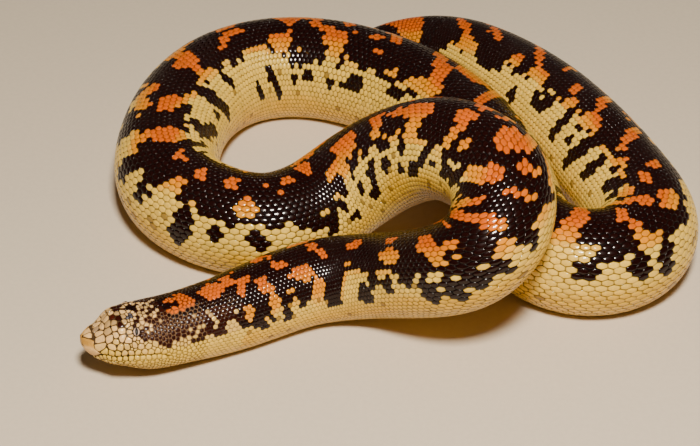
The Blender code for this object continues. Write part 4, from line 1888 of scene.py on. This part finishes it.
class Bench:
    """Where one material is put together, node by node."""

    def __init__(self, name: str) -> None:
        """Starts a material that holds only its shader."""
        self.material = bpy.data.materials.new(name)
        self.material.use_nodes = True
        self.tree = self.material.node_tree
        self.shader = self.tree.nodes["Principled BSDF"]

    def node(self, kind: str, **settings: object) -> bpy.types.Node:
        """Adds a node with its settings."""
        node = self.tree.nodes.new(kind)
        for name, value in settings.items():
            setattr(node, name, value)
        return node

    def join(self, socket: Socket, source: object) -> None:
        """Feeds a socket from another one, or sets it."""
        if isinstance(source, Socket):
            self.tree.links.new(source, socket)
        else:
            socket.default_value = source

    def fed(self, node: bpy.types.Node, sources: dict, output: object = 0) -> Socket:
        """Feeds sockets of a node, by number or name, and gives one of its outputs."""
        for key, source in sources.items():
            self.join(node.inputs[key], source)
        return node.outputs[output]

    def math(self, operation: str, *terms: object) -> Socket:
        """A sum, product or other function of numbers and sockets."""
        return self.fed(self.node("ShaderNodeMath", operation=operation), dict(enumerate(terms)))

    def spread(self, *terms: object) -> Socket:
        """Turns a value's range from low to high into the range from start to end."""
        node = self.node("ShaderNodeMapRange", clamp=True, interpolation_type="SMOOTHSTEP")
        return self.fed(node, dict(enumerate(terms)))

    def blend(self, share: object, first: object, second: object) -> Socket:
        """Mixes two colours."""
        node = self.node("ShaderNodeMix", data_type="RGBA")
        return self.fed(node, {0: share, 6: first, 7: second}, 2)

    def attribute(self, name: str, output: str) -> Socket:
        """Reads what was painted on the mesh."""
        return self.node("ShaderNodeAttribute", attribute_name=name).outputs[output]

    def grain(self, size: float, detail: float = 2.0) -> Socket:
        """Smooth noise over the object, with features of a size in millimetres."""
        place = self.node("ShaderNodeTexCoord").outputs["Object"]
        noise = self.node("ShaderNodeTexNoise")
        return self.fed(noise, {"Vector": place, "Scale": 1 / (size * MM), "Detail": detail})

    def bumped(self, height: object, depth: float, strength: float = 1.0) -> None:
        """Roughens the surface by a height, with a depth in millimetres."""
        bump = self.node("ShaderNodeBump")
        sources = {"Strength": strength, "Distance": depth * MM, "Height": height}
        self.join(self.shader.inputs["Normal"], self.fed(bump, sources))

    def set(self, **values: object) -> Material:
        """Sets or feeds sockets of the shader, by their names with _ for a space."""
        for name, value in values.items():
            self.join(self.shader.inputs[name.replace("_", " ")], value)
        return self.material


@dataclass(frozen=True)
class HideFinish:
    """Horn-like hide: the painted colour, with painted shade darkening it towards the seams, mottled and
    glossy.
    """

    name: str
    roughness: float
    gloss: float  # weight of the clear outer layer
    seam_shade: float  # painted shade: how much colour is left at the buried rim of a scale
    mottle: float
    mottle_size: float
    pore_size: float = 0.16
    pore_depth: float = 0.012
    gloss_roughness: float = 0.085
    shine: float = 0.06  # strength of the reflection off the hide itself

    def make(self) -> Material:
        """Makes the material."""
        bench = Bench(self.name)
        tint = bench.attribute("tint", "Color")
        coarse = bench.grain(self.mottle_size, 3.0)
        fine = bench.grain(self.pore_size)
        # Painted shade: the colour darkens towards the buried rim of each scale or plate, as the rise
        # falls.
        shade = bench.spread(bench.attribute("rise", "Fac"), 0.15, 0.95, self.seam_shade, 1.0)
        patch = bench.spread(coarse, 0.3, 0.7, 1.0 - self.mottle, 1.0 + self.mottle)
        speck = bench.spread(fine, 0.35, 0.65, 1.0 - self.mottle / 2, 1.0 + self.mottle / 2)
        level = bench.math("MULTIPLY", bench.math("MULTIPLY", shade, patch), speck)
        colour = bench.fed(bench.node("ShaderNodeVectorMath", operation="SCALE"), {0: tint, "Scale": level})
        bench.bumped(fine, self.pore_depth)
        return bench.set(
            Base_Color=colour,
            Roughness=bench.spread(coarse, 0.3, 0.7, self.roughness - 0.04, self.roughness + 0.06),
            Coat_Weight=self.gloss,
            Coat_Roughness=self.gloss_roughness,
            Specular_IOR_Level=self.shine,
        )


@dataclass(frozen=True)
class EyeFinish:
    """The eye: a pale iris with fine streaks round an upright slit, under clear horn."""

    name: str = "eye"
    iris: Floats = (0.86, 0.60, 0.46, 1.0)
    iris_dark: Floats = (0.34, 0.20, 0.12, 1.0)
    rim: Floats = (0.03, 0.018, 0.012, 1.0)
    pupil: Floats = (0.006, 0.004, 0.004, 1.0)
    half_opening: Pair = (0.96, 1.30)
    half_pupil: Pair = (0.46, 1.18)
    squareness: float = 1.8  # below 2, ovals come to points

    def make(self) -> Material:
        """Makes the material."""
        bench = Bench(self.name)
        parts = bench.node("ShaderNodeSeparateXYZ")
        bench.join(parts.inputs[0], bench.node("ShaderNodeUVMap", uv_map="gaze").outputs[0])
        centred = [bench.math("SUBTRACT", part, 0.5) for part in parts.outputs[:2]]
        across, upward = (bench.math("MULTIPLY", part, GAZE_WIDTH) for part in centred)

        def reach(half: Pair) -> Socket:
            """1 on the edge of an oval, less inside it."""
            ways = (bench.math("DIVIDE", way, size) for way, size in zip((across, upward), half))
            return bench.math(
                "ADD", *(bench.math("POWER", bench.math("ABSOLUTE", way), self.squareness) for way in ways)
            )

        opening = reach(self.half_opening)
        bearing = bench.math("ARCTAN2", upward, across)
        turning = {number: bench.math(name, bearing) for number, name in enumerate(("COSINE", "SINE"))}
        turning[2] = bench.math("MULTIPLY", opening, 0.25)
        spoke = bench.fed(bench.node("ShaderNodeCombineXYZ"), turning)
        streak = bench.node("ShaderNodeTexNoise")
        streaks = bench.fed(streak, {"Vector": spoke, "Scale": 9.0, "Detail": 3.0})
        iris = bench.blend(bench.spread(streaks, 0.36, 0.6, 0.0, 1.0), self.iris_dark, self.iris)
        iris = bench.blend(bench.spread(opening, 0.62, 1.0, 0.0, 1.0), iris, self.rim)
        slit = bench.spread(reach(self.half_pupil), 0.8, 1.2, 1.0, 0.0)
        return bench.set(
            Base_Color=bench.blend(slit, iris, self.pupil),
            Roughness=0.45,
            Specular_IOR_Level=0.2,
            Coat_Weight=0.22,
            Coat_Roughness=0.12,
            Coat_IOR=1.4,
        )


@dataclass(frozen=True)
class FloorFinish:
    """Matt pale board with the faintest grain."""

    name: str = "floor"
    colour: Floats = (0.66, 0.55, 0.41)
    shade: float = 0.96

    def make(self) -> Material:
        """Makes the material."""
        bench = Bench(self.name)
        grain = bench.grain(1.6, 4.0)
        darker = tuple(self.shade * value for value in self.colour)
        colour = bench.blend(bench.spread(grain, 0.3, 0.7, 0.0, 1.0), (*self.colour, 1.0), (*darker, 1.0))
        bench.bumped(grain, 0.02, 0.5)
        return bench.set(Base_Color=colour, Roughness=0.9)


SKIN_FINISH = HideFinish("hide_between_scales", 0.7, 0.0, 1.0, 0.12, 1.4, shine=0.15)
SCALE_FINISH = HideFinish("horn_scales", 0.30, 0.62, 0.30, 0.08, 1.1)
PLATE_FINISH = HideFinish("horn_plates", 0.34, 0.34, 0.25, 0.09, 0.9)
BELLY_FINISH = HideFinish("belly_plates", 0.36, 0.15, 0.6, 0.06, 2.2)


# ---- studio


@dataclass
class Studio:
    """Plain pale floor, soft light and the camera."""

    look_at: Floats = (*ROUTE_TO_CENTRE, 0.0)
    distance: float = 620.0
    elevation: float = 36.0
    lens: float = 100.0
    sensor: float = 36.0
    nearest: float = 0.01
    floor_size: float = 6.0
    floor_cells: int = 12
    key_elevation: float = 57.0
    key_azimuth: float = 6.0
    key_distance: float = 0.75
    key_size: float = 0.11
    key_power: float = 10.2
    key_colour: Floats = (1.0, 0.93, 0.82)
    fill: float = 0.05
    fill_colour: Floats = (1.0, 0.93, 0.84, 1.0)

    def floor(self) -> None:
        """Lays a wide floor."""
        start_clean()
        cells = self.floor_cells
        bpy.ops.mesh.primitive_grid_add(x_subdivisions=cells, y_subdivisions=cells, size=self.floor_size)
        floor = bpy.context.object
        floor.name = "studio_floor"
        floor.data.materials.append(FloorFinish().make())

    @staticmethod
    def direction(azimuth: float, elevation: float) -> Vector:
        """The direction from the animal to a place round it; azimuth 0 is the camera's side."""
        turn, climb = math.radians(azimuth), math.radians(elevation)
        flat = math.cos(climb)
        return Vector((flat * math.sin(turn), -flat * math.cos(turn), math.sin(climb)))

    def lights(self) -> None:
        """Hangs one large soft lamp and fills the room with even light."""
        away = self.direction(self.key_azimuth, self.key_elevation)
        start_clean()
        bpy.ops.object.light_add(type="AREA", location=Vector(self.look_at) * MM + away * self.key_distance)
        key = bpy.context.object
        key.name = "key_light"
        key.rotation_euler = away.to_track_quat("Z", "Y").to_euler()
        key.data.size = self.key_size
        key.data.energy = self.key_power
        key.data.color = self.key_colour
        world = bpy.data.worlds.new("soft_room")
        world.use_nodes = True
        room = world.node_tree.nodes["Background"]
        room.inputs["Color"].default_value = self.fill_colour
        room.inputs["Strength"].default_value = self.fill
        bpy.context.scene.world = world

    def camera(self) -> None:
        """Sets up the camera."""
        away = self.direction(0.0, self.elevation)
        bpy.ops.object.camera_add(location=(Vector(self.look_at) + away * self.distance) * MM)
        camera = bpy.context.object
        camera.name = "camera"
        camera.rotation_euler = away.to_track_quat("Z", "Y").to_euler()
        camera.data.lens = self.lens
        camera.data.sensor_width = self.sensor
        camera.data.clip_start = self.nearest
        bpy.context.scene.camera = camera


# ---- the whole animal


class Slot(Enum):
    """The parts of the look that can be changed by themselves."""

    BODY = "body_skin"
    HEAD = "head_skin"
    EYE = "eye"


def body_nodes() -> list[str]:
    """The solids that stand for flesh."""
    eyes = [f"eye_{side.name.lower()}" for side in Side]
    return [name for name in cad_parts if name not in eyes]


def place_piece(piece: Thing, finish: Material) -> None:
    """Dresses a piece, hangs it on the body and reports it.

    Args:
        piece: the finished mesh.
        finish: what it is dressed in.
    """
    piece.data.materials.clear()
    piece.data.materials.append(finish)
    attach(piece, "root")
    triangles = sum(len(face.vertices) - 2 for face in piece.data.polygons)
    log.info("%s: %d triangles, finish %s", piece.name, triangles, finish.name)


def main() -> None:
    """Builds the animal from the skin outwards, then the studio."""
    logging.basicConfig(level=logging.INFO, format="%(name)s: %(message)s")
    body = Body(Route(ROUTE))
    coat = Coat(body)
    form = HeadForm(body)
    markings = Markings()
    hide, horn, plate, belly = (
        finish.make() for finish in (SKIN_FINISH, SCALE_FINISH, PLATE_FINISH, BELLY_FINISH)
    )

    skin = Skin(body, coat, form, markings).build()
    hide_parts(*body_nodes())
    place_piece(skin, hide)

    for piece in ScaleRows(body, coat, markings).build():
        place_piece(piece, horn)
    place_piece(BellyPlates(body, coat, markings).build(), belly)
    for piece in TailPlates(body, coat, markings).build():
        place_piece(piece, horn)
    for piece in HeadPlates(body, coat, form, markings).build():
        place_piece(piece, plate)

    eye_finish = EyeFinish().make()
    for side in Side:
        eye = Eye(body, side)
        ball = eye.build()
        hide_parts(f"eye_{eye.label}")
        place_piece(ball, eye_finish)

    studio = Studio()
    studio.floor()
    studio.lights()
    studio.camera()


if __name__ == "__main__":
    main()
